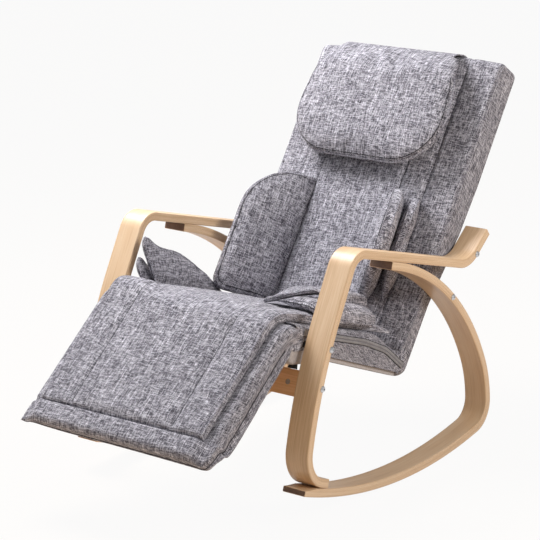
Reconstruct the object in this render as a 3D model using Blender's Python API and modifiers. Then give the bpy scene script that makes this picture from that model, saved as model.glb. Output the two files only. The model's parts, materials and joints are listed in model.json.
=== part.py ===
# Massage rocking chair: two bentwood side frames on rockers carry a padded seat and back,
# with a folding leg rest, a head pillow, waist and hip pads and a kneading mechanism.
# Metres, Z up. The chair faces -Y, the floor is z = 0 and x = 0 is the middle of the chair.
import bpy
import bmesh
import math
from mathutils import Matrix, Vector

for old in list(bpy.data.objects):
    bpy.data.objects.remove(old)

# Side frames
FRAME_W = 0.650             # over both side frames
STRIP_W = 0.060             # width of a bent strip
STRIP_T = 0.020             # thickness of a bent strip
EDGE = 0.0018               # eased edges of the wood
Y_MID = 0.03743             # puts the middle of the whole chair on y = 0
GAP = 0.0003                # between pieces that touch
INNER_X = FRAME_W / 2 - STRIP_W

# Rear strip and rocker, as bends of the middle line: radius and turn
REAR_START = (0.0193, 0.5206)
REAR_HEADING = -13.66
REAR_BENDS = ((0.6407, 13.11), (0.581, 37.83), (0.2818, 21.89), (0.0579, 81.97), (1.3195, 31.12))
TOE_TAPER = 0.050           # the rocker thins over this length
TOE_T = 0.013               # to this thickness

# Arm and front leg, as corners of the middle line and their bend radii
ARM_TIP = (0.428, 0.517)
ARM_REAR = (0.347, 0.4536)
ARM_FRONT = (-0.119, 0.577)
LEG_MID = (-0.2555, 0.320)
LEG_LOW = (-0.286, 0.177)
FOOT_Y = -0.237             # where the foot lands on the rocker
FOOT_END = -0.219
ARM_REAR_R, ARM_FRONT_R, LEG_R, FOOT_R = 0.075, 0.047, 1.0, 0.073

# Rail, bars and bolts
RAIL_MID = (-0.2455, 0.3035)
RAIL_H, RAIL_T = 0.058, 0.0165
BAR_R = 0.008
BAR_FRONT, BAR_LOW, BAR_HIGH = (-0.213, 0.384), (0.276, 0.391), (0.378, 0.4725)
BOLT_R, BOLT_L, BOLT_HEAD_R, BOLT_HEAD_H = 0.004, 0.095, 0.0075, 0.0042
BORE = 0.0004               # a bolt hole is this much larger in radius
NUT_R, NUT_IN = 0.006, 0.027
PLATE_T = 0.005
BUMPER_R = 0.011
BUMPER_X = INNER_X - 0.028

# Seat and back
SIDE_ROOM = 0.013           # between the cushions and the side frames
HALF = INNER_X - SIDE_ROOM  # half width of seat base and back
PLATE_X = HALF - 0.052
KNEE = (-0.266, 0.378)      # axis of the leg rest
PAN_SLOPE = -21.15
PAN_T = 0.009
PAN_END = 0.4465
SEAT_SLOPE = 162.8          # direction of the seat, from the back towards the knee
SEAT_REAR = (0.171, 0.330)
SEAT_PAD_T = 0.020
SEAT_PAD_HALF = HALF - 0.027
BACK_SLOPE = 56.2
BACK_FOOT = (0.167, 0.333)
BACK_TOP = 0.693
BACK_EDGE = -0.033          # the sides of the back stand this far behind its middle
BACK_REAR = -0.116
BACK_SEAMS = (HALF - 0.135, HALF - 0.072)
SEAM_DIP = 0.004
CROOK, CREASE, CREASE_TOP = (0.158, 0.276), (0.276, 0.391), (0.403, 0.4955)
BASE_CORNER, BASE_REAR, BASE_BULGE = (0.196, 0.199), (0.300, 0.347), (0.394, 0.452)

# Leg rest
LEG_SLOPE = 218.7
LEG_HALF = HALF + 0.002
LEG_LEN = 0.348
LEG_T = 0.058
CALF_T = 0.0180
CALF_R = 0.080
CALF_HALF = HALF - 0.028
TOE_STEP = LEG_LEN - 0.057    # the roll at the toe end starts here
TOE_LOW = 0.032             # and its lower edge stands this far above the board
TOE_TOP = LEG_T + 0.016
TOE_NOSE = LEG_LEN - 0.0038   # its foremost edge
TOE_R = 0.022               # its corners are rounded
TOE_FROM = LEG_LEN - 0.148
CALF_END = TOE_STEP - 0.0015
CALF_SEAM = CALF_HALF - 0.084
LEG_SWING = 40.0
BOARD_T = 0.008
BARREL_R, PIN_R = 0.006, 0.003
HINGE_X, HINGE_HALF = 0.120, 0.030
NOTCH_R = 0.0095             # room round the hinge barrels

# Pillow and pads
PILLOW_HALF, PILLOW_LOW, PILLOW_TOP, PILLOW_MID = 0.210, 0.378, 0.668, 0.026
PILLOW_FRONT, PILLOW_BACK = 0.042, 0.022
STRAP_HALF, STRAP_T = 0.160, 0.004
WAIST_X, WAIST_TILT, WAIST_T = HALF - 0.133, 38.0, 0.022
SIDE_X, SIDE_TILT, SIDE_T = HALF - 0.080, 41.0, 0.013
HIP_T = 0.009

# Kneading mechanism in the back
POCKET_X, POCKET_LOW, POCKET_TOP, POCKET_N = 0.155, 0.315, BACK_TOP - 0.045, -0.038
BOARD_X, BOARD_IN = 0.175, -0.1085
ROD_X, ROD_R, ROD_N = 0.110, 0.005, -0.085
CARRIAGE_S = 0.490
HEAD_X = 0.075


class Side:
    """A side view frame: s runs along, n stands out of the surface, x is across the chair."""

    def __init__(self, origin, degrees, hand=1):
        a = math.radians(degrees)
        self.o = origin
        self.s = (math.cos(a), math.sin(a))
        self.n = (-hand * math.sin(a), hand * math.cos(a))

    def yz(self, s, n):
        return (self.o[0] + self.s[0] * s + self.n[0] * n, self.o[1] + self.s[1] * s + self.n[1] * n)

    def local(self, p):
        d = (p[0] - self.o[0], p[1] - self.o[1])
        return (d[0] * self.s[0] + d[1] * self.s[1], d[0] * self.n[0] + d[1] * self.n[1])

    def at(self, x, s, n):
        y, z = self.yz(s, n)
        return Vector((x, y - Y_MID, z))

    def matrix(self):
        m = Matrix.Identity(4)
        m.col[1] = (0, self.s[0], self.s[1], 0)
        m.col[2] = (0, self.n[0], self.n[1], 0)
        m.col[3] = (0, self.o[0] - Y_MID, self.o[1], 1)
        return m


WORLD = Side((0.0, 0.0), 0.0)
BACK = Side(BACK_FOOT, BACK_SLOPE)
SEAT = Side(SEAT_REAR, SEAT_SLOPE, -1)
PAN = Side(KNEE, PAN_SLOPE)
LEG = Side(KNEE, LEG_SLOPE, -1)
LIP = math.radians(LEG_SLOPE - SEAT_SLOPE)   # from the leg rest to the seat, about the knee

# Collections and materials
scene = bpy.context.scene
parts = bpy.data.collections.new("massage_rocking_chair")
cutters = bpy.data.collections.new("cutters")
scene.collection.children.link(parts)
scene.collection.children.link(cutters)


def material(name, rgb, rough, metal=0.0):
    m = bpy.data.materials.new(name)
    m.use_nodes = True
    b = m.node_tree.nodes["Principled BSDF"]
    b.inputs["Base Color"].default_value = (*rgb, 1)
    b.inputs["Roughness"].default_value = rough
    b.inputs["Metallic"].default_value = metal
    m.diffuse_color = (*rgb, 1)
    return m


SHARP = math.radians(35)      # edges sharper than this stay hard
BIRCH = (0.72, 0.53, 0.34)
CLOTH = (0.33, 0.32, 0.35)


def add(name, mesh, look, cutter=False):
    """A named object from a mesh, with its own material. Cutters stay hidden."""
    ob = bpy.data.objects.new(name, mesh)
    (cutters if cutter else parts).objects.link(ob)
    if cutter:
        ob.hide_render = True
        ob.display_type = 'WIRE'
    else:
        mesh.materials.clear()
        mesh.materials.append(material(name, *look))
        mesh.shade_smooth()
        mesh.set_sharp_from_angle(angle=SHARP)
    return ob


def solid(name, bm, look, cutter=False):
    bmesh.ops.remove_doubles(bm, verts=bm.verts, dist=0.000005)
    bmesh.ops.recalc_face_normals(bm, faces=bm.faces)
    mesh = bpy.data.meshes.new(name)
    bm.to_mesh(mesh)
    bm.free()
    return add(name, mesh, look, cutter)


def hang(ob, point):
    """Put the origin of a piece on a point of its joint's axis."""
    ob.data.transform(Matrix.Translation(-point))
    ob.location = point
    return ob


def combine(ob, other, how):
    m = ob.modifiers.new(other.name, 'BOOLEAN')
    m.operation = how
    m.solver = 'EXACT'
    m.object = other


def cut(ob, *others):
    for other in others:
        combine(ob, other, 'DIFFERENCE')


# Primitives
def cylinder(bm, a, b, r, seg=16):
    d = b - a
    m = Matrix.Translation((a + b) / 2) @ d.to_track_quat('Z', 'Y').to_matrix().to_4x4()
    bmesh.ops.create_cone(bm, cap_ends=True, segments=seg, radius1=r, radius2=r, depth=d.length, matrix=m)


def box(bm, frame, lo, hi):
    size = [h - l for l, h in zip(lo, hi)]
    mid = Vector([(h + l) / 2 for l, h in zip(lo, hi)])
    m = frame.matrix() @ Matrix.Translation(mid) @ Matrix.Diagonal((*size, 1))
    bmesh.ops.create_cube(bm, size=1.0, matrix=m)


def lathe(bm, base, axis, profile, seg=16):
    """A turned piece: profile is (radius, height) along the axis, from the axis to the axis."""
    q = axis.to_track_quat('Z', 'Y').to_matrix().to_4x4()
    m = Matrix.Translation(base) @ q
    vs = [bm.verts.new(m @ Vector((r, 0, h))) for r, h in profile]
    es = [bm.edges.new(p) for p in zip(vs, vs[1:])]
    bmesh.ops.spin(bm, geom=vs + es, cent=base, axis=axis, steps=seg, angle=2 * math.pi, use_merge=True)
    bmesh.ops.remove_doubles(bm, verts=bm.verts, dist=0.000005)


# Side view outlines
def arc(centre, r, a0, a1, steps):
    return [(centre[0] + r * math.cos(a0 + (a1 - a0) * i / steps),
             centre[1] + r * math.sin(a0 + (a1 - a0) * i / steps)) for i in range(steps + 1)]


def corner(a, b, c, r, step=math.radians(9), count=0):
    """The rounded corner at b between the lines to a and c, in steps of an angle or a count."""
    a, b, c = Vector(a), Vector(b), Vector(c)
    u, v = (a - b).normalized(), (c - b).normalized()
    turn = math.pi - u.angle(v)
    back = r * math.tan(turn / 2)
    mid = b + (u + v).normalized() * (r / math.cos(turn / 2))
    p, q = b + u * back, b + v * back
    a0 = math.atan2(p.y - mid.y, p.x - mid.x)
    a1 = math.atan2(q.y - mid.y, q.x - mid.x)
    a1 += -2 * math.pi if a1 - a0 > math.pi else 2 * math.pi if a1 - a0 < -math.pi else 0
    return arc(mid, r, a0, a1, count or max(2, math.ceil(turn / step)))


def bend_path(start, heading, bends, step=4.0):
    """Points along a strip that bends to the right, and the centre and step of its last bend."""
    (y, z), h = start, math.radians(heading)
    path = [(y, z)]
    for r, turn in bends:
        n = max(3, math.ceil(turn / (9.0 if r < 0.1 else 2.6 if r > 1 else step)))
        centre = (y + r * math.sin(h), z - r * math.cos(h))
        for _ in range(n):
            d = math.radians(turn) / n
            y, z = y + r * (math.sin(h) - math.sin(h - d)), z + r * (math.cos(h - d) - math.cos(h))
            h -= d
            path.append((y, z))
    return path, centre, d


def band(path, half_l, half_r):
    """Outline of a strip about its middle line; half_l and half_r give its reach on each side."""
    run = [0.0]
    for p, q in zip(path, path[1:]):
        run.append(run[-1] + math.dist(p, q))
    left, right = [], []
    for i, p in enumerate(path):
        a, b = path[max(i - 1, 0)], path[min(i + 1, len(path) - 1)]
        d = (Vector(b) - Vector(a)).normalized()
        to_end = run[-1] - run[i]
        left.append((p[0] - d.y * half_l(to_end), p[1] + d.x * half_l(to_end)))
        right.append((p[0] + d.y * half_r(to_end), p[1] - d.x * half_r(to_end)))
    return left + right[::-1]


def keep_below(outline, p, slope):
    """Trim an outline to what lies under the line through p."""
    def over(q):
        return q[1] - (p[1] + slope * (q[0] - p[0]))
    out = []
    for a, b in zip(outline, outline[1:] + outline[:1]):
        ha, hb = over(a), over(b)
        if ha <= 0:
            out.append(a)
        if (ha < 0 < hb) or (hb < 0 < ha):
            f = ha / (ha - hb)
            out.append((a[0] + f * (b[0] - a[0]), a[1] + f * (b[1] - a[1])))
    return out


def plate(name, outline, x, half, look, holes=(), cutter=False, edge=0.0):
    """A flat piece cut to a side view outline, lying across x. Holes are (centre, radius)."""
    cu = bpy.data.curves.new(name, 'CURVE')
    cu.dimensions, cu.fill_mode, cu.extrude = '2D', 'BOTH', half
    loops = [outline] + [arc(c, r, 0, 2 * math.pi, 14)[:-1] for c, r in holes]
    for loop in loops:
        sp = cu.splines.new('POLY')
        sp.points.add(len(loop) - 1)
        for pt, (y, z) in zip(sp.points, loop):
            pt.co = (y, z, 0, 1)
        sp.use_cyclic_u = True
    tmp = bpy.data.objects.new(name + "_curve", cu)
    scene.collection.objects.link(tmp)
    bpy.context.view_layer.update()
    mesh = bpy.data.meshes.new_from_object(tmp.evaluated_get(bpy.context.evaluated_depsgraph_get()))
    bpy.data.objects.remove(tmp)
    mesh.name = name
    bm = bmesh.new()
    bm.from_mesh(mesh)
    bmesh.ops.remove_doubles(bm, verts=bm.verts, dist=0.000005)
    bmesh.ops.recalc_face_normals(bm, faces=bm.faces)
    bm.to_mesh(mesh)
    bm.free()
    ob = add(name, mesh, look, cutter)
    ob.rotation_euler = (math.pi / 2, 0, math.pi / 2)
    ob.location = (x, -Y_MID, 0)
    if edge:
        m = ob.modifiers.new("eased", 'BEVEL')
        m.width, m.segments, m.limit_method, m.angle_limit = edge, 1, 'ANGLE', math.radians(50)
        m.use_clamp_overlap = False
    return ob


# Soft forms
def rounded(corners):
    """A closed outline from (y, z, radius, pull) corners; pull scales how far a side edge is drawn in."""
    out = []
    for i, (y, z, r, w) in enumerate(corners):
        a, c = corners[i - 1], corners[(i + 1) % len(corners)]
        pts = corner(a[:2], (y, z), c[:2], r, count=3) if r else [(y, z)]
        out += [(p[0], p[1], w) for p in pts]
    return out


def drawn_in(ring, e):
    area = sum(a[0] * b[1] - b[0] * a[1] for a, b in zip(ring, ring[1:] + ring[:1]))
    k = 1 if area > 0 else -1
    out = []
    for i, p in enumerate(ring):
        a, c = ring[i - 1], ring[(i + 1) % len(ring)]
        d1 = Vector((p[0] - a[0], p[1] - a[1])).normalized()
        d2 = Vector((c[0] - p[0], c[1] - p[1])).normalized()
        n = Vector((-d1.y - d2.y, d1.x + d2.x)) * k
        if n.length > 1e-6:
            n = n.normalized()
            n = n / max(0.7, n.dot(Vector((-d1.y, d1.x)) * k))
        out.append((p[0] + n.x * e * p[2], p[1] + n.y * e * p[2]))
    return out


def sweep(name, ring_at, half, r, inner, look, segs=3):
    """A soft form: a side view ring carried across the chair and drawn in towards both sides."""
    right = [(x, 0.0) for x in inner if x > 0]
    for i in range(segs + 1):
        f = math.pi / 2 * i / segs
        right.append((half - r + r * math.sin(f), r * (1 - math.cos(f))))
    stations = [(-x, e) for x, e in reversed(right)] + [(0.0, 0.0)] + right
    bm = bmesh.new()
    rows = []
    for x, e in stations:
        rows.append([bm.verts.new((x, y - Y_MID, z)) for y, z in drawn_in(ring_at(x), e)])
    for a, b in zip(rows, rows[1:]):
        for i in range(len(a)):
            j = (i + 1) % len(a)
            bm.faces.new((a[i], a[j], b[j], b[i]))
    bm.faces.new(rows[0])
    bm.faces.new(rows[-1][::-1])
    return solid(name, bm, look)


def pad(name, outline, centre, front, back, place, look):
    """A puffed pad: rings of its outline shrink towards the centre and swell; place puts it in the chair.
    front and back give the swell at (a, b)."""
    rings = ((1.0, 0.0), (0.955, 0.52), (0.85, 0.82), (0.60, 0.98), (0.28, 1.0))
    bm = bmesh.new()

    def row(k, h, swell):
        vs = []
        for a, b in outline:
            a, b = centre[0] + k * (a - centre[0]), centre[1] + k * (b - centre[1])
            vs.append(bm.verts.new(place(a, b, h * swell(a, b))))
        return vs
    edge = row(1.0, 0.0, front)
    for swell in (front, lambda a, b: -back(a, b)):
        last = edge
        for k, h in rings[1:]:
            nxt = row(k, h, swell)
            for i in range(len(last)):
                j = (i + 1) % len(last)
                bm.faces.new((last[i], last[j], nxt[j], nxt[i]))
            last = nxt
        tip = bm.verts.new(place(*centre, swell(*centre)))
        for i in range(len(last)):
            bm.faces.new((last[i], last[(i + 1) % len(last)], tip))
    return solid(name, bm, look)


def ease(v, lo, hi):
    f = min(1.0, max(0.0, (v - lo) / (hi - lo)))
    return f * f * (3 - 2 * f)


# Bentwood side frames
rear_path, rocker_c, rocker_step = bend_path(REAR_START, REAR_HEADING, REAR_BENDS)
half_t = STRIP_T / 2
rear_outline = band(rear_path, lambda e: half_t,
                    lambda e: half_t - (STRIP_T - TOE_T) * (1 - ease(e, 0.0, TOE_TAPER)))
floor = min(z for _, z in rear_outline)
rear_outline = [(y, z - floor) for y, z in rear_outline]
rocker_r = REAR_BENDS[-1][0] + half_t
foot_r = (rocker_r - STRIP_T) * math.cos(rocker_step / 2) - 2 * GAP - half_t
foot_a = math.asin((FOOT_Y - rocker_c[0]) / foot_r)
foot = (FOOT_Y, rocker_c[1] - floor - foot_r * math.cos(foot_a))
foot_s = math.tan(foot_a)
leg_s = (LEG_MID[1] - LEG_LOW[1]) / (LEG_MID[0] - LEG_LOW[0])
heel_y = (foot[1] - LEG_LOW[1] + leg_s * LEG_LOW[0] - foot_s * FOOT_Y) / (leg_s - foot_s)
heel = (heel_y, foot[1] + foot_s * (heel_y - FOOT_Y))
foot_end = (FOOT_END, foot[1] + foot_s * (FOOT_END - FOOT_Y))
front_path = ([ARM_TIP] + corner(ARM_TIP, ARM_REAR, ARM_FRONT, ARM_REAR_R)
              + corner(ARM_REAR, ARM_FRONT, LEG_MID, ARM_FRONT_R)
              + corner(ARM_FRONT, LEG_MID, heel, LEG_R, math.radians(4))
              + corner(LEG_MID, heel, foot_end, FOOT_R) + [foot_end])
front_outline = band(front_path, lambda e: half_t, lambda e: half_t)
arm_slope = (ARM_FRONT[1] - ARM_REAR[1]) / (ARM_FRONT[0] - ARM_REAR[0])
under = half_t * math.hypot(1, arm_slope) + GAP
rear_outline = keep_below(rear_outline, (ARM_REAR[0], ARM_REAR[1] - under), arm_slope)
bolt_hole = BOLT_R + BORE
strip_x = FRAME_W / 2 - STRIP_W / 2
for side, hand in (("right", 1), ("left", -1)):
    plate("arm_leg_strip_" + side, front_outline, hand * strip_x, STRIP_W / 2, (BIRCH, 0.45),
          [(p, bolt_hole) for p in (BAR_FRONT, RAIL_MID, BAR_HIGH)], edge=EDGE)
    plate("rocker_strip_" + side, rear_outline, hand * strip_x, STRIP_W / 2, (BIRCH, 0.45),
          [(BAR_LOW, bolt_hole)], edge=EDGE)

# Front cross rail, square to the seat pan, with its barrel nuts and the bumpers under the pan
RAIL = Side(RAIL_MID, PAN_SLOPE + 90)
bm = bmesh.new()
box(bm, RAIL, (GAP - INNER_X, -RAIL_H / 2, -RAIL_T / 2), (INNER_X - GAP, RAIL_H / 2, RAIL_T / 2))
rail = solid("front_cross_rail", bm, (BIRCH, 0.5))
holes, nut_holes = bmesh.new(), bmesh.new()
bolt_in = FRAME_W / 2 - BOLT_L - 0.002
for hand in (1, -1):
    x = hand * (INNER_X - NUT_IN)
    cylinder(holes, RAIL.at(hand * bolt_in, 0, 0), RAIL.at(hand * (INNER_X + 0.01), 0, 0), bolt_hole, 14)
    cylinder(nut_holes, RAIL.at(x, 0, -RAIL_T), RAIL.at(x, 0, RAIL_T), NUT_R + GAP)
holes = solid("rail_bolt_holes", holes, None, True)
cut(rail, holes, solid("rail_nut_holes", nut_holes, None, True))
up = Vector((0, *PAN.n))
bumper_h = -PAN.local(RAIL.yz(RAIL_H / 2, 0))[1] - GAP
for side, hand in (("right", 1), ("left", -1)):
    x = hand * (INNER_X - NUT_IN)
    bm = bmesh.new()
    cylinder(bm, RAIL.at(x, 0, -RAIL_T / 2 + 0.0005), RAIL.at(x, 0, RAIL_T / 2 - 0.0005), NUT_R)
    cut(solid("rail_barrel_nut_" + side, bm, ((0.55, 0.55, 0.56), 0.35, 1.0)), holes)
    bm = bmesh.new()
    lathe(bm, RAIL.at(hand * BUMPER_X, RAIL_H / 2, 0), up,
          ((0, 2 * GAP), (BUMPER_R, 2 * GAP), (BUMPER_R * 0.8, bumper_h * 0.5), (BUMPER_R, bumper_h),
           (0, bumper_h)), 14)
    solid("rail_bumper_" + side, bm, ((0.015, 0.015, 0.015), 0.7))

# Bolts through the strips into the bars and the rail
h = BOLT_HEAD_H
BOLTS = (("front_bar", BAR_FRONT), ("low_bar", BAR_LOW), ("high_bar", BAR_HIGH), ("rail", RAIL_MID))
for side, hand in (("right", 1), ("left", -1)):
    for spot, (y, z) in BOLTS:
        bm = bmesh.new()
        lathe(bm, WORLD.at(hand * (FRAME_W / 2 + GAP), y, z), Vector((hand, 0, 0)),
              ((0, 0.4 * h), (0.0025, 0.4 * h), (0.0025, h), (0.005, 0.85 * h), (BOLT_HEAD_R, 0.15 * h),
               (BOLT_HEAD_R, 0), (BOLT_R, 0), (BOLT_R, -BOLT_L), (0, -BOLT_L)), 14)
        solid("bolt_" + spot + "_" + side, bm, ((0.6, 0.6, 0.61), 0.3, 1.0))


# Welded seat frame: three bars and two side plates
def frame_plate(grow):
    q0, q1 = PAN_T + 0.0015, PAN_T + 0.0175
    pts = [PAN.yz(0.040, q0), PAN.yz(0.440, q0), (0.186, 0.240), (0.303, 0.374), (0.393, 0.462),
           (0.384, 0.474), (0.371, 0.4665), (0.279, 0.3885), (0.172, 0.279), PAN.yz(0.412, q1),
           PAN.yz(0.060, q1), PAN.yz(0.040, q1)]
    if not grow:
        return pts
    return drawn_in([(y, z, 1.0) for y, z in pts], -grow)


def frame_bars(r, x):
    b = bmesh.new()
    for y, z in (BAR_FRONT, BAR_LOW, BAR_HIGH):
        cylinder(b, WORLD.at(-x, y, z), WORLD.at(x, y, z), r)
    return b


STEEL = ((0.02, 0.02, 0.022), 0.4, 0.6)
frame = solid("seat_frame", frame_bars(BAR_R, INNER_X - GAP), STEEL)
for hand in (1, -1):
    cheek = plate("frame_plate", frame_plate(0), hand * PLATE_X, PLATE_T / 2, None, cutter=True)
    combine(frame, cheek, 'UNION')
bm = bmesh.new()
for hand in (1, -1):
    for y, z in (BAR_FRONT, BAR_LOW, BAR_HIGH):
        cylinder(bm, WORLD.at(hand * bolt_in, y, z), WORLD.at(hand * FRAME_W / 2, y, z), bolt_hole, 14)
cut(frame, solid("bar_end_holes", bm, None, True))
frame_room = [solid("bar_room", frame_bars(BAR_R + 2 * GAP, FRAME_W / 2), None, True)]
for hand in (1, -1):
    frame_room.append(plate("plate_room", frame_plate(2 * GAP), hand * PLATE_X, PLATE_T / 2 + 2 * GAP, None,
                            cutter=True))

# Seat base: an L of padding from the knee round to the wedge behind the back
pocket_r = LEG_T + 0.0008
knee_seat = SEAT.local(KNEE)
base_h = -SEAT_PAD_T - GAP
a_seat = math.radians(SEAT_SLOPE - 90)
a_pan = math.radians(PAN_SLOPE) + math.asin((PAN_T + GAP) / pocket_r)
knee_arc = arc(KNEE, pocket_r, a_seat, a_pan, 6)
base_ring = rounded(
    [(*p, 0, 0) for p in knee_arc]
    + [(*PAN.yz(PAN_END + GAP, PAN_T + GAP), 0, 0), (*PAN.yz(PAN_END + GAP, 0), 0, 0.2),
       (*BASE_CORNER, 0.030, 1), (*BASE_REAR, 0, 1), (*BASE_BULGE, 0, 0.6),
       (CREASE_TOP[0] + 0.008, CREASE_TOP[1] + 0.004, 0, 0), (CREASE_TOP[0], CREASE_TOP[1] - 0.002, 0, 0),
       (CREASE[0] + GAP, CREASE[1] - GAP, 0, 0.5), (CROOK[0] + GAP, CROOK[1] - GAP, 0, 0.5),
       (*SEAT.yz(0.030, -0.041), 0, 1), (*SEAT.yz(0.075, -0.025), 0, 1), (*SEAT.yz(0.120, base_h), 0, 1),
       (*SEAT.yz(0.280, base_h), 0, 1), (*SEAT.yz(knee_seat[0] - 0.02, base_h), 0, 0.6),
       (*SEAT.yz(knee_seat[0], base_h), 0, 0)])
base = sweep("base_cushion", lambda x: base_ring, HALF, 0.012, (0.10,), (CLOTH, 0.95))
bm = bmesh.new()
box(bm, PAN, (-0.165, 0.165, -0.01), (0.165, 0.365, 0.056))
cut(base, solid("electrics_room", bm, None, True), *frame_room)

# Seat pan with the electrics above it
bm = bmesh.new()
box(bm, PAN, (0.006 - HALF, 0.016, 0), (HALF - 0.006, PAN_END, PAN_T))
pan = solid("seat_pan", bm, ((0.42, 0.38, 0.35), 0.9))
bm = bmesh.new()
inlet = PAN.at(-0.125, 0.330, 0)
cylinder(bm, inlet - up * 0.02, inlet + up * 0.03, 0.0063)
cut(pan, solid("inlet_hole", bm, None, True))
bm = bmesh.new()
lathe(bm, inlet, up, ((0, 0.006), (0.003, 0.006), (0.003, -0.003), (0.010, -0.003), (0.010, -GAP),
                      (0.006, -GAP), (0.006, 0.020), (0, 0.020)))
solid("power_inlet", bm, ((0.02, 0.02, 0.02), 0.5))
bm = bmesh.new()
box(bm, PAN, (-0.145, 0.185, PAN_T + GAP), (-0.015, 0.285, PAN_T + 0.036))
ctl = solid("control_box", bm, ((0.03, 0.03, 0.03), 0.55))
m = ctl.modifiers.new("eased", 'BEVEL')
m.width, m.segments = 0.003, 1
bm = bmesh.new()
lathe(bm, PAN.at(0.030, 0.265, PAN_T + GAP + 0.021), Vector((1, 0, 0)),
      ((0, 0), (0.012, 0), (0.021, 0.006), (0.021, 0.085), (0.012, 0.092), (0.012, 0.108), (0, 0.108)), 16)
solid("air_pump", bm, ((0.12, 0.12, 0.13), 0.45))

# Zip along the right side of the seat base, with its slider
zip_pts = [(-0.215, 0.4095), (0.025, 0.3295), (0.107, 0.291), (0.176, 0.236)]
zip_path = zip_pts[:1] + corner(zip_pts[0], zip_pts[1], zip_pts[2], 0.12) \
    + corner(zip_pts[1], zip_pts[2], zip_pts[3], 0.10) + zip_pts[3:]
zip_x = HALF + GAP
ZIP_HALF, ZIP_T = 0.011, 0.0014
plate("zip_tape", band(zip_path, lambda e: ZIP_HALF, lambda e: ZIP_HALF), zip_x + ZIP_T / 2, ZIP_T / 2,
      ((0.30, 0.29, 0.31), 0.8))
zip_slope = (zip_pts[1][1] - zip_pts[0][1]) / (zip_pts[1][0] - zip_pts[0][0])
ZIP = Side((-0.150, zip_pts[0][1] + zip_slope * 0.065),
           math.degrees(math.atan2(zip_pts[1][1] - zip_pts[0][1], zip_pts[1][0] - zip_pts[0][0])))
bm = bmesh.new()
x0 = zip_x + 0.0014 + GAP
box(bm, ZIP, (x0, -0.006, -0.0045), (x0 + 0.0035, 0.006, 0.0045))
slider = hang(solid("zip_slider", bm, ((0.25, 0.25, 0.26), 0.35, 1.0)), ZIP.at(x0, 0, 0))
bm = bmesh.new()
box(bm, ZIP, (x0 + 0.0025, -0.024, -0.003), (x0 + 0.0042, 0.004, 0.003))
combine(slider, solid("zip_pull", bm, None, True), 'UNION')

# Seat pad over the base
def seat_ring(x):
    crown = 0.005 * (1 - (x / SEAT_PAD_HALF) ** 2)
    front = knee_seat[0] - GAP
    rim = [(0.004, -0.010, 0, 0.6), (0.05, crown - 0.009, 0, 0.7), (0.14, crown - 0.001, 0, 0.9),
           (0.27, crown, 0, 1),
           (front, crown * 0.4, 0.009, 0.9), (front, -SEAT_PAD_T, 0, 0.2), (0.004, -SEAT_PAD_T, 0, 0.1)]
    return rounded([(*SEAT.yz(t, v), r, w) for t, v, r, w in rim])


sweep("seat_pad", seat_ring, SEAT_PAD_HALF, 0.008, (0.08, 0.16), (CLOTH, 0.95))


# Back: proud in the middle between its seams, with a rear pocket closed by a board
def proud(x):
    a = abs(x)
    dip = sum(SEAM_DIP * max(0.0, 1 - abs(a - s) / 0.013) for s in BACK_SEAMS)
    return BACK_EDGE * ease(a, BACK_SEAMS[0] - 0.03, HALF + 0.03) - dip


def back_ring(x):
    f = proud(x)
    c, d, e = BACK.local(CROOK), BACK.local(CREASE), BACK.local(CREASE_TOP)
    rim = [(c[0], c[1], 0, 0), (0.004, f, 0, 0.1), (0.20, f, 0, 1), (0.42, f, 0, 1), (0.60, f, 0, 1),
           (BACK_TOP, f, 0.026, 1), (BACK_TOP + 0.002, BACK_REAR, 0.018, 1),
           (0.48, BACK_REAR + 0.001, 0, 1),
           (e[0] + 0.004, e[1], 0, 0.5), (d[0], d[1], 0, 0)]
    return rounded([(*BACK.yz(s, n), r, w) for s, n, r, w in rim])


seams = [s + d for s in BACK_SEAMS for d in (-0.013, 0.0, 0.013)]
back = sweep("back_cushion", back_ring, HALF, 0.016, [0.06] + seams + [HALF - 0.034], (CLOTH, 0.95))
bm = bmesh.new()
box(bm, BACK, (-POCKET_X, POCKET_LOW, -0.2), (POCKET_X, POCKET_TOP, POCKET_N))
room = solid("mechanism_room", bm, None, True)
bm = bmesh.new()
box(bm, BACK, (-BOARD_X, POCKET_LOW - 0.02, -0.2), (BOARD_X, POCKET_TOP + 0.015, BOARD_IN))
cut(back, room, solid("board_room", bm, None, True), *frame_room)
bm = bmesh.new()
box(bm, BACK, (GAP - BOARD_X, POCKET_LOW - 0.02 + GAP, BACK_REAR),
    (BOARD_X - GAP, POCKET_TOP + 0.015 - GAP, BOARD_IN - GAP))
solid("back_board", bm, (CLOTH, 0.9))

# Kneading mechanism: rods, brackets, carriage, motor and two turning heads
rod_low, rod_top = POCKET_LOW + 0.010, POCKET_TOP - 0.010
bores = bmesh.new()
for side, hand in (("right", 1), ("left", -1)):
    bm = bmesh.new()
    cylinder(bm, BACK.at(hand * ROD_X, rod_low, ROD_N), BACK.at(hand * ROD_X, rod_top, ROD_N), ROD_R, 12)
    solid("guide_rod_" + side, bm, ((0.65, 0.65, 0.66), 0.25, 1.0))
    cylinder(bores, BACK.at(hand * ROD_X, 0.2, ROD_N), BACK.at(hand * ROD_X, 0.8, ROD_N), ROD_R + GAP, 12)
bores = solid("rod_bores", bores, None, True)
for end, s in (("low", rod_low), ("high", rod_top - 0.024)):
    bm = bmesh.new()
    box(bm, BACK, (-ROD_X - 0.014, s, BOARD_IN), (ROD_X + 0.014, s + 0.024, ROD_N + 0.010))
    cut(solid("rod_holder_" + end, bm, ((0.03, 0.03, 0.03), 0.5)), bores)
bm = bmesh.new()
box(bm, BACK, (-0.130, CARRIAGE_S - 0.035, -0.099), (0.130, CARRIAGE_S + 0.035, -0.069))
carriage = hang(solid("massage_carriage", bm, ((0.05, 0.05, 0.055), 0.5)), BACK.at(0, CARRIAGE_S, -0.084))
cut(carriage, bores)
bm = bmesh.new()
out = Vector((0, *BACK.n))
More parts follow.
